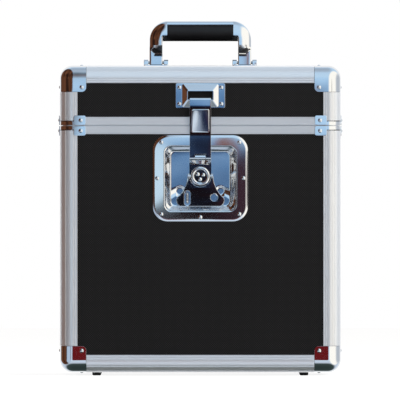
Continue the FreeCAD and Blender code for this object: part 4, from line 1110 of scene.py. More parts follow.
def rivet_skins(places, sizes):
    """A domed head with a short shank at each place."""
    head = dome_profile(sizes.rivet_radius, sizes.rivet_height, EDGE)
    return [lathe(head, point, outward, 24) for point, outward in places]


class CASE_OT_rivets(bpy.types.Operator):
    """Add the domed rivets of the corners, clips, hinges, brackets, dish and keeper"""

    bl_idname = "case.rivets"
    bl_label = "Rivets"

    def execute(self, context):
        sizes = context.scene.case_corners
        latch = context.scene.case_latch
        for body, level, upward in corner_ends():
            skins = rivet_skins(rivet_places(context, body, level, upward), sizes)
            add_piece(f"{body}_rivet_heads", skins, chrome(), f"{body}_rivets")
        front = -Y
        low, high = span("latch_dish_rivets")
        flange_y = PANEL_Y - latch.sheet
        inset = sizes.rivet_radius
        row_high = high[2] - inset
        row_low = low[2] + inset
        wide = high[0] - inset
        pairs = (
            (latch.rivet_upper_x, row_high), (wide, ROTOR_Z - latch.rivet_middle_drop),
            (latch.rivet_upper_x, ROTOR_Z - latch.rivet_lower_drop),
        )
        places = [(np.array([side * x, flange_y, z]), front) for x, z in pairs for side in (-1, 1)]
        places.append((np.array([0.0, flange_y, row_low]), front))
        add_piece("dish_rivet_heads", rivet_skins(places, sizes), chrome(), "latch_dish_rivets")
        low, high = span("keeper_rivets")
        places = [
            (np.array([x, flange_y, z]), front)
            for x in (low[0] + inset, high[0] - inset) for z in (low[2] + inset, high[2] - inset)
        ]
        add_piece("keeper_rivet_heads", rivet_skins(places, sizes), chrome(), "keeper_rivets")
        return {"FINISHED"}


class CASE_OT_feet(bpy.types.Operator):
    """Add the rubber feet, each a tapered turning with a recess for its screw"""

    bl_idname = "case.feet"
    bl_label = "Feet"

    def execute(self, context):
        sizes = context.scene.case_corners
        sole, top = (corner[2] for corner in span("feet"))
        edge = sizes.foot_edge
        recess = sizes.foot_recess
        shoulder = top - sole - sizes.foot_flange
        small = edge / 4
        slope = arc_points((sizes.foot_sole - edge, edge), edge, 270, 350, 8)
        lip = arc_points((recess + small, small), small, 180, 270, 4)
        profile = np.concatenate([
            [(0, sizes.foot_recess_height), (recess, sizes.foot_recess_height)], lip, slope,
            [(sizes.foot_sole, shoulder - small), (sizes.foot_sole + small, shoulder)],
            [(sizes.foot_top, shoulder), (sizes.foot_top, top - sole), (0, top - sole)],
        ])
        skins = [
            lathe(profile, (side_x * sizes.foot_x, side_y * sizes.foot_y, sole), Z, 40)
            for side_x in (-1, 1) for side_y in (-1, 1)
        ]
        settings = context.scene.case_finish
        rubber = shared("foot_rubber", moulded, tuple(settings.rubber), 0.6, 1100.0, 0.06 * MM)
        add_piece("rubber_feet", skins, rubber, "feet", sharp=40)
        return {"FINISHED"}


# Hinges


def leaf_outline(sizes, pitch, first):
    """A flat leaf's edge: fingers up to the split where it has a knuckle, and room where it has none."""
    room = sizes.knuckle + sizes.stand
    edge = []
    for index in range(sizes.knuckles):
        low = sizes.fit if index % 2 == first else room
        edge += [(index * pitch + sizes.gap / 2, low), ((index + 1) * pitch - sizes.gap / 2, low)]
    if first:
        edge[0] = (0.0, room)
        edge[-1] = (sizes.width, room)
    corner = sizes.corner
    right = arc_points((sizes.width - corner, sizes.leaf - corner), corner, 0, 90, 5)
    left = arc_points((corner, sizes.leaf - corner), corner, 90, 180, 5)
    return np.concatenate([edge, right, left])


class CASE_OT_hinges(bpy.types.Operator):
    """Add the hinges on the back: joggled leaves, knuckles and pins"""

    bl_idname = "case.hinges"
    bl_label = "Hinges"

    def execute(self, context):
        sizes = context.scene.case_hinges
        section = context.scene.case_sections
        step = section.rim_height
        inset = HALF_DEPTH - PANEL_BACK_Y
        joggle = np.linspace(step, step + sizes.wall, 6)
        pitch = sizes.width / sizes.knuckles
        edge = 0.25 * MM
        for body, away, first in (("base", -1, 0), ("lid", 1, 1)):
            skins = []
            outline = leaf_outline(sizes, pitch, first)
            for side in (-1, 1):
                start_x = side * sizes.place - sizes.width / 2
                points, faces = plate([outline], sizes.wall, edge, joggle)
                along = points[:, 1]
                sink = np.clip((along - step) / sizes.wall, 0, 1) * inset
                out = HALF_DEPTH + sizes.wall / 2 - sink + points[:, 2]
                bent = np.column_stack([start_x + points[:, 0], out, SPLIT_Z + away * along])
                skins.append((bent, faces))
                for index in range(first, sizes.knuckles, 2):
                    start = start_x + index * pitch + sizes.gap / 2
                    barrel = drum_profile(sizes.knuckle, 0.0, pitch - sizes.gap, edge)
                    skins.append(lathe(barrel, (start, HINGE_Y, SPLIT_Z), X, 40))
            add_piece(f"{body}_hinge_plates", skins, chrome(), f"{body}_hinge_leaves", sharp=30)
        half = sizes.width / 2 + sizes.pin_end
        pin = drum_profile(sizes.pin, -half, half, edge * 2)
        skins = [lathe(pin, (side * sizes.place, HINGE_Y, SPLIT_Z), X, 24) for side in (-1, 1)]
        add_piece("hinge_pin_rods", skins, steel(), "hinge_pins")
        return {"FINISHED"}


# Latch


def pressed(stages, bends, steps):
    """Rings that face the front, for a pressed sheet, from stages with rounded bends between them.

    A stage is (half_x, half_z, centre_z, radius, front): a ring with round corners, so far before the board.
    """
    rings = []
    for half_x, half_z, centre_z, radius, front in filleted(stages, bends, steps, (0, 1, 4)):
        x, z = round_ring(half_x, half_z, radius, 10, 40).T
        rings.append(np.column_stack([x, np.full(len(x), PANEL_Y - front), centre_z + z]))
    return rings


class CASE_OT_dish(bpy.types.Operator):
    """Add the recessed dish, pressed from one sheet, with its two finger dimples"""

    bl_idname = "case.dish"
    bl_label = "Latch dish"

    def execute(self, context):
        sizes = context.scene.case_latch
        (_, _, flange_z), (half_x, _, half_z) = middle_and_half("latch_dish")
        pan_z = SPLIT_Z - sizes.pan_drop - sizes.pan_height / 2
        sheet = sizes.sheet
        mouth = (sizes.pan_width / 2, sizes.pan_height / 2, pan_z, sizes.pan_radius)
        ground = (sizes.floor_width / 2, sizes.floor_height / 2, pan_z, sizes.floor_radius)
        deep = -sizes.pan_depth
        swage = sizes.swage
        bulge = (half_x - swage, half_z - swage, flange_z, sizes.dish_radius - swage * 0.6)
        front = [
            (half_x - sheet, half_z - sheet, flange_z, sizes.dish_radius - sheet, 0.0),
            (half_x, half_z, flange_z, sizes.dish_radius, 0.0),
            (half_x, half_z, flange_z, sizes.dish_radius, sheet * 0.55),
            (*bulge, sheet),
            (*mouth, sheet),
            (*ground, deep),
            (ground[0] * 0.8, ground[1] * 0.8, pan_z, sizes.floor_radius * 0.8, deep),
        ]
        bends = (0.2 * MM, 0.5 * MM, 1.2 * MM, sizes.mouth_bend, sizes.floor_bend)
        rings = pressed(front, bends, 5)
        floor_bend_rings = 8
        first_inside = len(rings) - floor_bend_rings
        whole = rings[-1]
        centre = np.array([0.0, PANEL_Y - deep, pan_z])
        floor_shares = np.append(np.linspace(1, 0, 44)[1:-1], TINY)
        rings = np.array(rings + [centre + (whole - centre) * left for left in floor_shares])
        dimple_z = ROTOR_Z - sizes.dimple_drop
        away = np.hypot(np.abs(rings[..., 0]) - sizes.dimple_x, rings[..., 2] - dimple_z)
        share_in = np.clip((sizes.dimple_radius - away) / sizes.dimple_bend, 0, 1)
        dimple = sizes.dimple_depth * share_in ** 2 * (3 - 2 * share_in)
        inside = np.arange(len(rings))[:, None] >= first_inside
        rings[..., 1] += np.where(inside, dimple, 0)
        back = rings.copy()
        shrink = np.clip((rings[..., 1] - PANEL_Y) / sizes.pan_depth, 0, 1)
        back[..., 1] = np.where(rings[..., 1] < PANEL_Y + TINY, PANEL_Y, rings[..., 1] + sheet)
        grow = np.where(inside, 0.0, shrink) * sheet * 0.6
        back[..., 0] += np.sign(back[..., 0]) * grow
        back[..., 2] += np.sign(back[..., 2] - pan_z) * grow
        piece = new_piece("pressed_dish", [stacked(np.concatenate([back[::-1], rings]))], sharp=50)
        finish = context.scene.case_finish
        middle = (0.0, PANEL_Y, flange_z - finish.dish_drop)
        sheen = (finish.dish_rough, middle, finish.dish_crown, finish.dish_lean, finish.dish_wave)
        dress(piece, shared("dish_chrome", plated, tuple(finish.chrome), *sheen), "latch_dish")
        return {"FINISHED"}


def pin_rod(node, y, z, edge):
    """Add the finished pin of a packed node: a rod along X, as long and as thick as the packed one."""
    half = middle_and_half(node)[1]
    rod = drum_profile(half[2], -half[0], half[0], edge)
    add_piece(f"{node}_rod", [lathe(rod, (0, y, z), X, 24)], chrome(), node)


class CASE_OT_rotor(bpy.types.Operator):
    """Add the turned rotor with its ring and dome, and the wing's pin"""

    bl_idname = "case.rotor"
    bl_label = "Latch rotor"

    def execute(self, context):
        sizes = context.scene.case_latch
        origin = np.array([0.0, PANEL_Y, ROTOR_Z])
        tail = PANEL_Y - span("latch_rotor")[1][1]
        face = -sizes.drum_front
        back = -sizes.pan_depth + sizes.drum_back
        edge = 0.35 * MM
        turn = np.radians(np.linspace(0, 180, 15))
        half = sizes.ring_width / 2
        crest = sizes.drum_radius - half
        ring = np.column_stack([crest + half * np.cos(turn), face + sizes.ring_height * np.sin(turn)])
        drum = sizes.drum_radius
        profile = np.concatenate([[(0, back), (drum - edge, back), (drum, back + edge)], ring, [(0, face)]])
        shaft = drum_profile(sizes.shaft, tail, back, edge)
        keep_back = -sizes.pan_depth - sizes.sheet - sizes.retainer_gap
        retainer = drum_profile(sizes.retainer, keep_back - sizes.wing_wall, keep_back, edge)
        cam = drum_profile(sizes.cam, -sizes.pan_depth + EDGE, back, edge)
        skins = [
            lathe(profile, origin, -Y, 72), lathe(shaft, origin, -Y, 32), lathe(retainer, origin, -Y, 40),
            lathe(cam, origin - Z * sizes.cam_offset, -Y, 40),
        ]
        dome = dome_profile(sizes.dome_radius, sizes.dome_height, 0.1 * MM)
        for angle in np.radians((25, 145, 265)):
            place = origin + sizes.dome_place * (math.cos(angle) * X + math.sin(angle) * Z)
            skins.append(lathe(dome, place - Y * face, -Y, 28))
        add_piece("turned_rotor", skins, chrome(), "latch_rotor", sharp=35)
        pin_rod("wing_pin", WING_Y, ROTOR_Z, edge)
        return {"FINISHED"}


def wing_outline(sizes):
    """Half the wing's edge by arcs through shoulder, waist, flank, lobe and toe, then its mirror image."""
    upper = arc_through((sizes.wing_shoulder, 0.0), sizes.waist, sizes.flank, 14)
    side = np.concatenate([upper[:-1], arc_through(sizes.flank, sizes.lobe, sizes.toe, 14)])
    left = side[::-1] * (-1, 1)
    cut = arc_points((0, 0), sizes.wing_cut, 180, 0, 28)
    return np.concatenate([side, left, cut]) * (1, -1)


class CASE_OT_wing(bpy.types.Operator):
    """Add the fold-down wing handle with its slot, hole and eyes, and the padlock staple"""

    bl_idname = "case.wing"
    bl_label = "Latch wing"

    def execute(self, context):
        sizes = context.scene.case_latch
        slot_wide, slot_long = sizes.slot_half, (sizes.slot_bottom - sizes.slot_top) / 2
        slot = round_ring(slot_wide, slot_long, slot_wide * 0.98, 6, 3)
        slot = slot - (sizes.slot_place, (sizes.slot_top + sizes.slot_bottom) / 2)
        hole = arc_points((sizes.hole_x, -sizes.hole_drop), sizes.hole_radius, 0, 360, 32)[:-1]
        flat = plate([wing_outline(sizes), slot, hole], sizes.wing_wall, sizes.wing_edge)
        skins = [put(flat, (0, WING_Y, ROTOR_Z), X, Z, -Y)]
        for side in (-1, 1):
            start, end = sorted((side * (sizes.wing_cut + sizes.eye_gap), side * sizes.wing_eye_outer))
            eye = drum_profile(sizes.wing_eye, start, end, EDGE)
            skins.append(lathe(eye, (0, WING_Y, ROTOR_Z), X, 32))
        add_piece("fold_down_wing", skins, chrome(), "latch_wing", sharp=35)
        wire = sizes.staple_wire
        low, high = span("padlock_staple")
        wire_y = low[1] + wire
        bend = wire * 1.4
        upper, lower = ROTOR_Z - sizes.staple_top, ROTOR_Z - sizes.staple_bottom
        corner_high = arc_points((wire_y + bend, upper - bend), bend, 90, 180, 8)
        corner_low = arc_points((wire_y + bend, lower + bend), bend, 180, 270, 8)
        end = high[1] + wire
        path = np.concatenate([[(end, upper)], corner_high, corner_low, [(end, lower)]])
        path = np.column_stack([np.full(len(path), -sizes.slot_place), path])
        add_piece("staple_wire", [tube(path, wire, 20)], chrome(), "padlock_staple")
        return {"FINISHED"}


class CASE_OT_arm(bpy.types.Operator):
    """Add the hook arm: one strap bent from its eyes out over the keeper, with a raised pad"""

    bl_idname = "case.arm"
    bl_label = "Hook arm"

    def execute(self, context):
        sizes = context.scene.case_latch
        wall = sizes.arm_wall
        low_front = PANEL_Y - KNUCKLE_Y + sizes.knuckle
        middle = low_front - wall / 2
        out = sizes.arm_stand + wall / 2
        top = ROTOR_Z + sizes.arm_top - wall / 2
        path = filleted(
            [
                (middle, KNUCKLE_Z), (middle, ROTOR_Z + sizes.arm_bend_low),
                (out, ROTOR_Z + sizes.arm_bend_high), (out, top), (sizes.arm_tab, top),
            ],
            (sizes.arm_bend, sizes.arm_bend, sizes.tab_bend), 8,
        )
        runs = runs_along(path)
        notch_half = sizes.eye_start
        notch = sizes.knuckle + sizes.notch_gap
        half = sizes.arm_half
        corner = sizes.arm_corner
        end = runs[-1]
        outline = np.concatenate([
            [(notch_half, 0), (half, 0)],
            arc_points((half - corner, end - corner), corner, 0, 90, 5),
            arc_points((-half + corner, end - corner), corner, 90, 180, 5),
            [(-half, 0), (-notch_half, 0), (-notch_half, notch), (notch_half, notch)],
        ])
        flat, faces = plate([outline], wall, EDGE, runs[1:-1])
        slope = np.gradient(path, axis=0)
        slope /= np.linalg.norm(slope, axis=1)[:, None]
        along = np.clip(flat[:, 1], 0, end)
        front = np.interp(along, runs, path[:, 0])
        height = np.interp(along, runs, path[:, 1])
        lean_front = np.interp(along, runs, slope[:, 1])
        lean_up = np.interp(along, runs, -slope[:, 0])
        length_of = np.hypot(lean_front, lean_up)
        front = front + flat[:, 2] * lean_front / length_of
        height = height + flat[:, 2] * lean_up / length_of
        skins = [(np.column_stack([flat[:, 0], PANEL_Y - front, height]), faces)]
        for side in (-1, 1):
            start, stop = sorted((side * sizes.eye_start, side * half))
            eye = drum_profile(sizes.knuckle, start, stop, EDGE)
            skins.append(lathe(eye, (0, KNUCKLE_Y, KNUCKLE_Z), X, 40))
        rise = np.array([0.0, -(out - middle), sizes.arm_bend_high - sizes.arm_bend_low])
        rise /= np.linalg.norm(rise)
        normal = np.cross(X, rise)
        centre_front = (middle + out) / 2
        centre_z = ROTOR_Z + (sizes.arm_bend_low + sizes.arm_bend_high) / 2
        centre = np.array([0.0, PANEL_Y - centre_front, centre_z]) + normal * wall / 2
        tall = sizes.pad_height
        edge_shares = ((0.0, -0.2), (0.0, 0.15), (0.35, 0.75), (0.8, 1.0))
        levels = [(inset * tall, lift * tall) for inset, lift in edge_shares]
        levels += [(inset, tall) for inset in np.linspace(1.6 * tall, sizes.pad_half_width - tall / 10, 12)]
        rings = []
        for shrink, lift in levels:
            half_u = sizes.pad_half_width - shrink
            corner = min(sizes.pad_corner, half_u * 0.8)
            ring = round_ring(half_u, sizes.pad_half_length - shrink, corner, 6, 12)
            taper = 1 - sizes.pad_taper * (1 - ring[:, 1, None] / sizes.pad_half_length) / 2
            bulge = 1 - sizes.pad_crown * (ring[:, 0, None] / sizes.pad_half_width) ** 2
            lift = lift * taper * bulge if lift > 0 else lift
            rings.append(centre + ring[:, 0, None] * X + ring[:, 1, None] * rise + normal * lift)
        skins.append(stacked(rings))
        add_piece("hook_strap", skins, chrome(), "latch_arm", sharp=35)
        pin_rod("arm_pin", KNUCKLE_Y, KNUCKLE_Z, EDGE)
        return {"FINISHED"}


class CASE_OT_keeper(bpy.types.Operator):
    """Add the keeper plate: a pressed hollow rise with a mouth for the arm's tab"""

    bl_idname = "case.keeper"
    bl_label = "Keeper plate"

    def execute(self, context):
        sizes = context.scene.case_latch
        (_, _, middle), (half_x, _, half_z) = middle_and_half("keeper_plate")
        sheet = sizes.sheet
        mouth_low = ROTOR_Z + sizes.arm_top - sizes.arm_wall - sizes.mouth_low
        mouth_z = mouth_low + sizes.mouth_height / 2
        mouth = (sizes.mouth_half, sizes.mouth_height / 2, mouth_z, sizes.keeper_radius / 2)
        brow = (mouth[0] + sheet, mouth[1] + sheet, mouth_z, sizes.keeper_radius)
        base = (sizes.keeper_base, half_z - sizes.keeper_margin, middle, sizes.keeper_radius)
        inner = (base[0] - sheet, base[1] - sheet, middle, sizes.keeper_radius)
        rise = sizes.keeper_rise
        back = (half_x - sheet, half_z - sheet, middle, sizes.keeper_radius, 0.0)
        stages = [
            back,
            (half_x, half_z, middle, sizes.keeper_radius, 0.0),
            (half_x, half_z, middle, sizes.keeper_radius, sheet),
            (*base, sheet),
            (*brow, rise),
            (*mouth, rise),
            (*inner, 0.0),
            back,
        ]
        bends = np.array([0.2, 0.5, 0.5, 0.5, 0.35, 0.3]) * MM
        rings = pressed(stages, bends, 4)
        add_piece("pressed_keeper", [stacked(rings[:-1], wrap=True)], chrome(), "keeper_plate", sharp=50)
        return {"FINISHED"}


# Carrying handle


def handle_path(sizes):
    """Matching points (x, z) of the handle's outer and inner edge, from the right foot to the grip's end."""
    half = sizes.width / 2
    inner = half - sizes.leg
    top = TOP_Z + sizes.height
    ceiling = top - sizes.inner_top
    turn_z = top - sizes.corner
    inner_turn = ceiling - sizes.inner_corner
    leg_points, bend_points = 110, 30
    levels = np.linspace(PIVOT_Z, min(turn_z, inner_turn), leg_points)
    outer_bend = arc_points((half - sizes.corner, turn_z), sizes.corner, 0, 90, 20)
    inner_bend = arc_points((inner - sizes.inner_corner, inner_turn), sizes.inner_corner, 0, 90, 6)
    outer = np.concatenate([[(half, levels[-1])], outer_bend, [(sizes.grip_half, top)]])
    under = np.concatenate([[(inner, levels[-1])], inner_bend, [(sizes.grip_half, ceiling)]])
    return [
        np.concatenate([np.column_stack([np.full(leg_points, x), levels]), resampled(bend, bend_points)[1:]])
        for x, bend in ((half, outer), (inner, under))
    ]


def bar_ring(outer, inner, half_depth, edge, power=2.0, steps=60):
    """A D-shaped section: flat inside, |w / W|^p + |y / D|^p = 1 outside, its inside edges rounded."""
    outer = np.array([outer[0], 0.0, outer[1]])
    inner = np.array([inner[0], 0.0, inner[1]])
    reach = outer - inner
    width = np.linalg.norm(reach)
    edge = min(edge, width * 0.2, half_depth * 0.4)
    turn = np.linspace(0, math.pi, steps)
    curve = 2 / power
    w = edge + (width - edge) * np.sin(turn) ** curve
    y = half_depth * np.sign(np.cos(turn)) * np.abs(np.cos(turn)) ** curve
    low = arc_points((edge, -half_depth + edge), edge, 270, 180, 4)[1:]
    high = arc_points((edge, half_depth - edge), edge, 180, 90, 4)[:-1]
    points = np.concatenate([np.column_stack([w, y]), low, high])
    return inner + points[:, 0, None] * reach / width + points[:, 1, None] * Y


class CASE_OT_handle(bpy.types.Operator):
    """Add the chrome handle frame: D-shaped rings between its outer and inner edge, with flattened feet"""

    bl_idname = "case.handle"
    bl_label = "Handle frame"

    def execute(self, context):
        sizes = context.scene.case_handle
        outer_edge, inner_edge = handle_path(sizes)
        edge = sizes.edge
        inner_x = sizes.width / 2 - sizes.leg
        ends = []
        for part in np.linspace(0, 1, 6)[:-1]:
            angle = math.radians(90 * (1 - part))
            z = PIVOT_Z - sizes.end_radius * math.sin(angle)
            half = min(sizes.end_radius * math.cos(angle) + EDGE, sizes.foot)
            ends.append(bar_ring((sizes.width / 2, z), (inner_x, z), half, edge, sizes.foot_power))
        flat = np.array([
            bar_ring(outer, inner, sizes.foot, edge, sizes.foot_power)
            for outer, inner in zip(outer_edge, inner_edge)
        ])
        above = (outer_edge[:, 1] - PIVOT_Z - sizes.end_radius) / (sizes.foot_full - sizes.end_radius)
        halves = sizes.foot + (sizes.depth - sizes.foot) * np.clip(above, 0, 1)
        domed = np.array([
            bar_ring(outer, inner, half, edge) for outer, inner, half in zip(outer_edge, inner_edge, halves)
        ])
        middle = (flat + domed) / 2
        across = np.clip((middle[..., 0] - inner_x) / sizes.leg, 0, 1)
        shoulder = PIVOT_Z + sizes.foot_low + (sizes.foot_top - sizes.foot_low) * across
        swell = np.clip((middle[..., 2] - shoulder) / sizes.foot_step, 0, 1)[..., None]
        blended = flat + (domed - flat) * swell ** 2 * (3 - 2 * swell)
        top = outer_edge[-1][1]
        last = bar_ring(outer_edge[-1], (sizes.grip_half, top - sizes.bar), sizes.depth, edge, 3.0)
        right = np.concatenate([ends, blended, [last]])
        left = right[::-1] * (-1, 1, 1)
        skin = stacked(np.concatenate([right, left]))
        add_piece("handle_arch", [skin], chrome(), "handle_frame", sharp=40)
        leg_middle = (sizes.width - sizes.leg) / 2
        pin_half = sizes.leg / 2 + sizes.bracket_gap + sizes.bracket_ear
        pin = drum_profile(middle_and_half("handle_pins")[1][2], -pin_half, pin_half, EDGE)
        skins = [lathe(pin, (side * leg_middle, 0, PIVOT_Z), X, 24) for side in (-1, 1)]
        add_piece("pivot_pin_rods", skins, steel(), "handle_pins")
        return {"FINISHED"}


class CASE_OT_grip(bpy.types.Operator):
    """Add the moulded grip under the handle's bar, flat on top, with end collars"""

    bl_idname = "case.grip"
    bl_label = "Grip"

    def execute(self, context):
        sizes = context.scene.case_handle
        half = sizes.grip_half
        radius = sizes.grip_radius
        ceiling = TOP_Z + sizes.height - sizes.bar
        centre_z = ceiling - sizes.grip_sink
        edge = sizes.grip_edge
        turn = np.radians(np.linspace(0, 90, 5))
        ends = np.column_stack([-half + edge - edge * np.cos(turn), radius - edge + edge * np.sin(turn)])
        places = np.linspace(-half + edge, half - edge, 60)[1:-1]
        middle = np.column_stack([places, np.full(len(places), radius)])
        profile = np.concatenate([ends, middle, ends[::-1] * (-1, 1)])
        around = np.linspace(0, 2 * math.pi, 72, endpoint=False)
        rays = np.column_stack([np.zeros_like(around), np.sin(around), np.cos(around)])
        rings = np.array([X * x + r * rays for x, r in profile])
        rings[..., 2] = np.minimum(centre_z + rings[..., 2], ceiling)
        settings = context.scene.case_finish
        material = shared("moulded_grip", moulded, tuple(settings.grip), 0.42, 900.0, 0.08 * MM)
        skins = [stacked(rings)]
        nub_low = centre_z - radius
        nub_high = TOP_Z + sizes.height - sizes.inner_top
        outline = round_ring(sizes.nub_depth, (nub_high - nub_low) / 2, sizes.nub_corner, 4, 2)
        end = sizes.width / 2 - sizes.leg - sizes.nub_gap
        for side in (-1, 1):
            start, stop = sorted((side * (half - edge), side * end))
            skins.append(swept(outline, Z * (nub_low + nub_high) / 2, Y, Z, X, start, stop))
        add_piece("moulded_grip", skins, material, "handle_grip", sharp=40)
        return {"FINISHED"}


class CASE_OT_brackets(bpy.types.Operator):
    """Add the handle's brackets: a windowed plate with two rounded ears each"""

    bl_idname = "case.brackets"
    bl_label = "Handle brackets"

    def execute(self, context):
        sizes = context.scene.case_handle
        leg_middle = (sizes.width - sizes.leg) / 2
        window = sizes.leg / 2 + sizes.bracket_gap
        half = window + sizes.bracket_ear
        corner = sizes.bracket_corner
        outline = round_ring(half, sizes.bracket_half, corner, 5, 2)
        hole = round_ring(window, sizes.bracket_window, corner / 2, 4, 2)
        flat = plate([outline, hole], sizes.bracket_plate, EDGE)
        ear_radius = TOP_Z + sizes.bracket_height - PIVOT_Z
        cap = arc_points((0, PIVOT_Z - TOP_Z), ear_radius, 0, 180, 20)
        ear_outline = np.concatenate([cap, [(-ear_radius, 0), (ear_radius, 0)]])
        ear = plate([ear_outline], sizes.bracket_ear, sizes.bracket_edge)
        skins = []
        for side in (-1, 1):
            centre = side * leg_middle
            skins.append(put(flat, (centre, 0, TOP_Z + sizes.bracket_plate / 2), X, Y, Z))
            for ear_side in (-1, 1):
                place = centre + ear_side * (window + sizes.bracket_ear / 2)
                skins.append(put(ear, (place, 0, TOP_Z), Y, Z, X))
        add_piece("pivot_brackets", skins, chrome(), "handle_brackets", sharp=35)
        return {"FINISHED"}


# Boards, linings and pads


class CASE_OT_boards(bpy.types.Operator):
    """Finish the boards, the link, the screws and the cover that stay as packed"""

    bl_idname = "case.boards"
    bl_label = "Boards"

    def execute(self, context):
        settings = context.scene.case_finish
        across = {"front": 0, "back": 0, "left": 1, "right": 1}
        for body in ("base", "lid"):
            for label, axis in across.items():
                finish_node(f"{body}_panel_{label}", facing(axis, 2))
        finish_node("base_panel_floor", facing(0, 1))
        finish_node("lid_panel_top", facing(0, 1))
        finish_node("latch_link", chrome())
        finish_node("foot_screws", steel())
        paint = shared("black_paint", moulded, tuple(settings.paint), 0.5, 700.0, 0.05 * MM)
        finish_node("latch_back_cover", paint)
        return {"FINISHED"}


def slab(low, high, edge, crown, cells=24):
    """A flat soft slab between two corners: two faces that swell by a crown towards the middle.

    A face is drawn in by crown * (1 - (1 - u^4)(1 - v^4)) towards its edges, where it is chamfered to the
    slab's middle height.
    """
    size = high - low
    side, rise = (np.concatenate([[0], np.linspace(edge, end - edge, cells), [end]]) for end in size[:2])
    a, b = np.meshgrid(side, rise, indexing="ij")
    u = 2 * a / size[0] - 1
    v = 2 * b / size[1] - 1
    fall = crown * (1 - (1 - u ** 4) * (1 - v ** 4))
    rim = (np.abs(u) > 1 - TINY) | (np.abs(v) > 1 - TINY)
    near = np.minimum(np.minimum(a, size[0] - a), np.minimum(b, size[1] - b))
    drop = np.where(rim, size[2] / 2, np.where(near < edge * 1.01, edge * 0.3, 0) + fall)
    drop = np.minimum(drop, size[2] / 2)
    skins = []
    for end, sign in ((low[2], 1), (high[2], -1)):
        points = np.stack([low[0] + a, low[1] + b, end + sign * drop], axis=-1)
        skins.append((points.reshape(-1, 3), grid_faces(len(side), len(rise), wrap_cols=False)))
    return skins


class CASE_OT_linings(bpy.types.Operator):
    """Add the felt wall linings and the foam pads"""

    bl_idname = "case.linings"
    bl_label = "Linings and pads"

    def execute(self, context):
        settings = context.scene.case_finish
        section = context.scene.case_sections
        felt = shared("black_felt", napped, tuple(settings.felt), 1300.0, 0.3 * MM)
        foam = shared("grey_foam", napped, tuple(settings.foam), 700.0, 0.6 * MM)
        pan_middle, pan_half = middle_and_half("latch_back_cover")
        thick = settings.lining
        gap = settings.lining_gap
        corner = 1.0 * MM
        edge = 0.35 * MM
        for body in ("base", "lid"):
            (_, _, middle_z), (_, _, half_z) = middle_and_half(f"{body}_wall_lining")
            skins = []
            for inward, run, distance, half_run in faces_round():
                outlines = [round_ring(half_run - section.lip_reach - gap, half_z, corner, 4, 2)]
                if body == "base" and inward[1] > 0:
                    window = round_ring(pan_half[0] + gap, pan_half[2] + gap, corner, 4, 2)
                    outlines.append(window + (0, pan_middle[2] - middle_z))
                sheet = plate(outlines, thick, edge)
                origin = -inward * (distance - section.board_back - thick / 2) + Z * middle_z
                skins.append(put(sheet, origin, run, Z, inward))
            add_piece(f"{body}_felt_lining", skins, felt, f"{body}_wall_lining", sharp=40)
        for node, name in (("base_floor_pad", "floor_foam"), ("lid_top_pad", "top_foam")):
            skins = slab(*span(node), settings.pad_edge, settings.pad_crown)
            add_piece(name, skins, foam, node, sharp=60)
        return {"FINISHED"}


# Stage

# What polished metal mirrors, as (height, colour): height is the upward part of a direction, -1 to 1
SKY = (
    (-1.0, (0.030, 0.045, 0.042)), (-0.80, (0.05, 0.07, 0.066)), (-0.66, (0.62, 0.70, 0.80)),
    (-0.25, (0.70, 0.83, 0.98)), (-0.20, (0.14, 0.18, 0.26)), (-0.165, (0.010, 0.005, 0.006)),
    (-0.06, (0.012, 0.004, 0.005)), (0.0, (0.005, 0.005, 0.008)), (0.065, (0.012, 0.018, 0.040)),
    (0.10, (0.040, 0.09, 0.20)), (0.14, (0.13, 0.28, 0.52)), (0.21, (0.50, 0.74, 0.98)),
    (0.5, (0.58, 0.80, 1.0)), (0.85, (0.56, 0.76, 0.95)), (1.0, (0.40, 0.48, 0.58)),
)
# Dark and light grain of the wood on the left, and what stretches it upwards
WOOD = ((0.024, 0.010, 0.007), (0.17, 0.066, 0.032))
WOOD_GRAIN = (1.0, 1.0, 0.2)
# Soft cards laid over that sky in turn: direction, outer and inner angle in degrees, colour or wood
CARDS = {
    "white wall behind": ((0.0, 1.0, 0.1), 62, 44, (1.0, 1.0, 1.0)),
    "wood on the left": ((-1.0, -0.30, 0.30), 63, 56, "wood"),
    "light low on the left": ((-0.70, -0.72, -0.43), 21, 12, (0.50, 0.62, 0.76)),
    "dark gap in the wood": ((-1.0, -0.9, 0.05), 14, 6, (0.008, 0.006, 0.006)),
    "cream wall on the right": ((1.0, -0.35, 0.1), 58, 46, (1.22, 1.17, 1.06)),
    "grey beside it": ((1.0, 0.30, 0.0), 36, 14, (0.56, 0.60, 0.65)),
    "dark gap in the cream": ((1.0, -1.1, 0.0), 12, 6, (0.035, 0.02, 0.02)),
    "blue window in front": ((-0.24, -1.0, 0.04), 10, 7, (0.66, 0.86, 1.0)),
    "plum shade in front": ((0.20, -1.0, 0.0), 11, 5, (0.045, 0.022, 0.032)),
    "brown spot in front": ((0.107, -1.0, 0.16), 3.4, 1.0, (0.25, 0.09, 0.05)),
    "pale strip low in front": ((-0.085, -1.0, -0.25), 4.8, 2.3, (0.80, 0.90, 1.0)),
    "dark strip low in front": ((0.085, -1.0, -0.25), 5.0, 2.5, (0.015, 0.025, 0.06)),
    "red low on the left": ((-0.163, -1.0, -0.315), 7.0, 5.0, (0.15, 0.011, 0.013)),
    "red low on the right": ((0.163, -1.0, -0.315), 7.0, 5.0, (0.15, 0.011, 0.013)),
}
# Plain light from the left and from the right, and its strength
DAYLIGHT = ((0.34, 0.30, 0.29), (1.2, 1.17, 1.12))
DAYLIGHT_STRENGTH = 0.55
# Soft lamps: place, size, watts and colour
LAMPS = {
    "key": ((1.9, -1.9, 1.9), 1.6, 62.0, (1.0, 0.985, 0.96)),
    "fill": ((-1.0, -2.6, 1.6), 1.8, 22.0, (1.0, 0.98, 0.97)),
    "top": ((0.2, 0.6, 2.6), 1.6, 10.0, (1.0, 1.0, 1.0)),
}
# The floor's own light, and its share in what the camera sees of the floor
FLOOR_GLOW = 1.22
FLOOR_GLOW_SHARE = 0.7


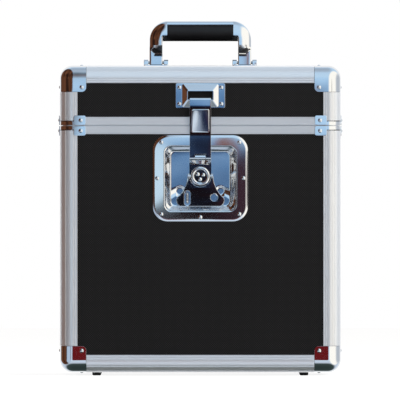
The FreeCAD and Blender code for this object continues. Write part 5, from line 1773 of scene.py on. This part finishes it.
def mirrored_room(tree, vector, height):
    """The colour that polished metal mirrors in a direction: the sky with its cards."""
    ramp = tree.add("ValToRGB", {"Fac": tree.spread(height, 0.0, 1.0, -1.0, 1.0)})
    elements = ramp.color_ramp.elements
    while len(elements) < len(SKY):
        elements.new(0.5)
    for element, (place, tint) in zip(elements, SKY):
        element.position = (place + 1) / 2
        element.color = (*tint, 1.0)
    stretched = tree.add("VectorMath", {0: vector, 1: WOOD_GRAIN}, operation="MULTIPLY").outputs[0]
    streaks = tree.spread(tree.noise(stretched, 3.6, 2.0), 0.0, 1.0, 0.38, 0.62)
    wood = tree.blend(streaks, *WOOD)
    seen = ramp.outputs["Color"]
    for direction, start, full, tint in CARDS.values():
        limits = [math.cos(math.radians(angle)) for angle in (start, full)]
        facing_it = tree.dot(vector, Vector(direction).normalized())
        cover = tree.spread(facing_it, 0.0, 1.0, *limits, kind="SMOOTHSTEP")
        seen = tree.blend(cover, seen, wood if tint == "wood" else tint)
    return seen


def studio_world():
    """White behind the case, plain light on it, and a room of soft cards for what is polished."""
    world = bpy.data.worlds.new("studio")
    tree = Tree(world)
    tree.nodes.clear()
    vector = tree.add("TexCoord", {}).outputs["Generated"]
    parts = tree.axes(vector)
    daylight = tree.blend(tree.spread(parts["X"], 0.0, 1.0, -0.8, 0.5), *DAYLIGHT)
    room, plain_light, white = (
        tree.add("Background", {"Color": tint, "Strength": strength}).outputs["Background"]
        for tint, strength in (
            (mirrored_room(tree, vector, parts["Z"]), 1.0),
            (daylight, DAYLIGHT_STRENGTH),
            ((1.0, 1.0, 1.0, 1.0), 1.0),
        )
    )
    ray = tree.add("LightPath", {}).outputs
    polished = tree.calc("MAXIMUM", ray["Is Glossy Ray"], ray["Is Transmission Ray"])
    unseen = tree.add("MixShader", {0: polished, 1: plain_light, 2: room}).outputs[0]
    whole = tree.add("MixShader", {0: ray["Is Camera Ray"], 1: unseen, 2: white}).outputs[0]
    tree.add("OutputWorld", {"Surface": whole})
    bpy.context.scene.world = world


def floor_material():
    """A pale floor that the camera sees as white with a soft shadow under the case."""
    material, tree, shader = new_finish("pale_floor")
    cloud = tree.noise(tree.coords(), 3.0, 2.0)
    tree.fill(shader, {
        "Base Color": tree.blend(cloud, (0.90, 0.90, 0.90), (0.94, 0.94, 0.94)),
        "Roughness": 0.9,
        "Specular IOR Level": 0.1,
    })
    glow = tree.add("Emission", {"Strength": FLOOR_GLOW}).outputs["Emission"]
    seen = tree.times(tree.add("LightPath", {}).outputs["Is Camera Ray"], FLOOR_GLOW_SHARE)
    mix = tree.add("MixShader", {0: seen, 1: shader.outputs["BSDF"], 2: glow}).outputs[0]
    tree.fill(tree.nodes["Material Output"], {"Surface": mix})
    return material


def placed(data, place, aim):
    """A new object for a lamp or a camera at a place, looking at a point."""
    thing = bpy.data.objects.new(data.name, data)
    thing.location = place
    thing.rotation_euler = (Vector(aim) - Vector(place)).to_track_quat("-Z", "Y").to_euler()
    bpy.context.scene.collection.objects.link(thing)
    return thing


def lamp(name, place, size, energy, tint):
    """A soft square lamp that looks at the middle of the case and is mirrored by nothing."""
    data = bpy.data.lights.new(name, "AREA")
    data.shape = "SQUARE"
    data.size = size
    data.energy = energy
    data.color = tint
    placed(data, place, (0.0, 0.0, TOP_Z / 2)).visible_glossy = False


class CASE_OT_stage(bpy.types.Operator):
    """Add the camera, the pale floor, the lamps and the surroundings"""

    bl_idname = "case.stage"
    bl_label = "Stage"

    def execute(self, context):
        scene = context.scene
        studio = scene.case_studio
        aim = Vector((studio.aim_x, -HALF_DEPTH, studio.aim_z))
        tilt = math.radians(studio.elevation)
        data = bpy.data.cameras.new("camera")
        data.sensor_width = 36.0
        data.lens = data.sensor_width * studio.distance / studio.view_width
        data.clip_end = studio.distance * 5
        place = aim + Vector((0.0, -math.cos(tilt), math.sin(tilt))) * studio.distance
        scene.camera = placed(data, place, aim)
        scene.view_settings.view_transform = "Standard"
        reach = studio.floor_reach
        ring = round_ring(reach, reach, reach, 24, 2)
        mesh = bpy.data.meshes.new("floor")
        mesh.from_pydata(np.column_stack([ring, np.zeros(len(ring))]).tolist(), [], [list(range(len(ring)))])
        mesh.materials.append(floor_material())
        ground = bpy.data.objects.new("floor", mesh)
        scene.collection.objects.link(ground)
        ground.visible_glossy = False
        for name, values in LAMPS.items():
            lamp(name, *values)
        studio_world()
        return {"FINISHED"}


# Panel, registration and the run

OPERATORS = (
    CASE_OT_sections, CASE_OT_rims, CASE_OT_ball_corners, CASE_OT_rim_clips, CASE_OT_rivets, CASE_OT_feet,
    CASE_OT_hinges, CASE_OT_dish, CASE_OT_rotor, CASE_OT_wing, CASE_OT_arm, CASE_OT_keeper, CASE_OT_handle,
    CASE_OT_grip, CASE_OT_brackets, CASE_OT_boards, CASE_OT_linings, CASE_OT_stage,
)
SETTINGS = {
    "case_sections": SectionSizes,
    "case_corners": CornerSizes,
    "case_hinges": HingeSizes,
    "case_latch": LatchSizes,
    "case_handle": HandleSizes,
    "case_finish": FinishSettings,
    "case_studio": StudioSettings,
}


class CASE_PT_panel(bpy.types.Panel):
    """The case's steps and settings"""

    bl_idname = "CASE_PT_panel"
    bl_label = "Record carrying case"
    bl_space_type = "VIEW_3D"
    bl_region_type = "UI"
    bl_category = "Case"

    def draw(self, context):
        for operator in OPERATORS:
            self.layout.operator(operator.bl_idname)
        for name, group in SETTINGS.items():
            column = self.layout.column(heading=group.__doc__)
            for prop in group.__annotations__:
                column.prop(getattr(context.scene, name), prop)


def register():
    """Register the settings, the operators and the panel."""
    for name, group in SETTINGS.items():
        bpy.utils.register_class(group)
        setattr(bpy.types.Scene, name, PointerProperty(type=group))
    for operator in OPERATORS:
        bpy.utils.register_class(operator)
    bpy.utils.register_class(CASE_PT_panel)


def unregister():
    """Take them all out again."""
    bpy.utils.unregister_class(CASE_PT_panel)
    for operator in reversed(OPERATORS):
        bpy.utils.unregister_class(operator)
    for name, group in SETTINGS.items():
        delattr(bpy.types.Scene, name)
        bpy.utils.unregister_class(group)


def main():
    """Register, build every piece and write both boxes for comparison."""
    register()
    for operator in OPERATORS:
        group, name = operator.bl_idname.split(".")
        getattr(getattr(bpy.ops, group), name)()


if __name__ == "__main__":
    main()
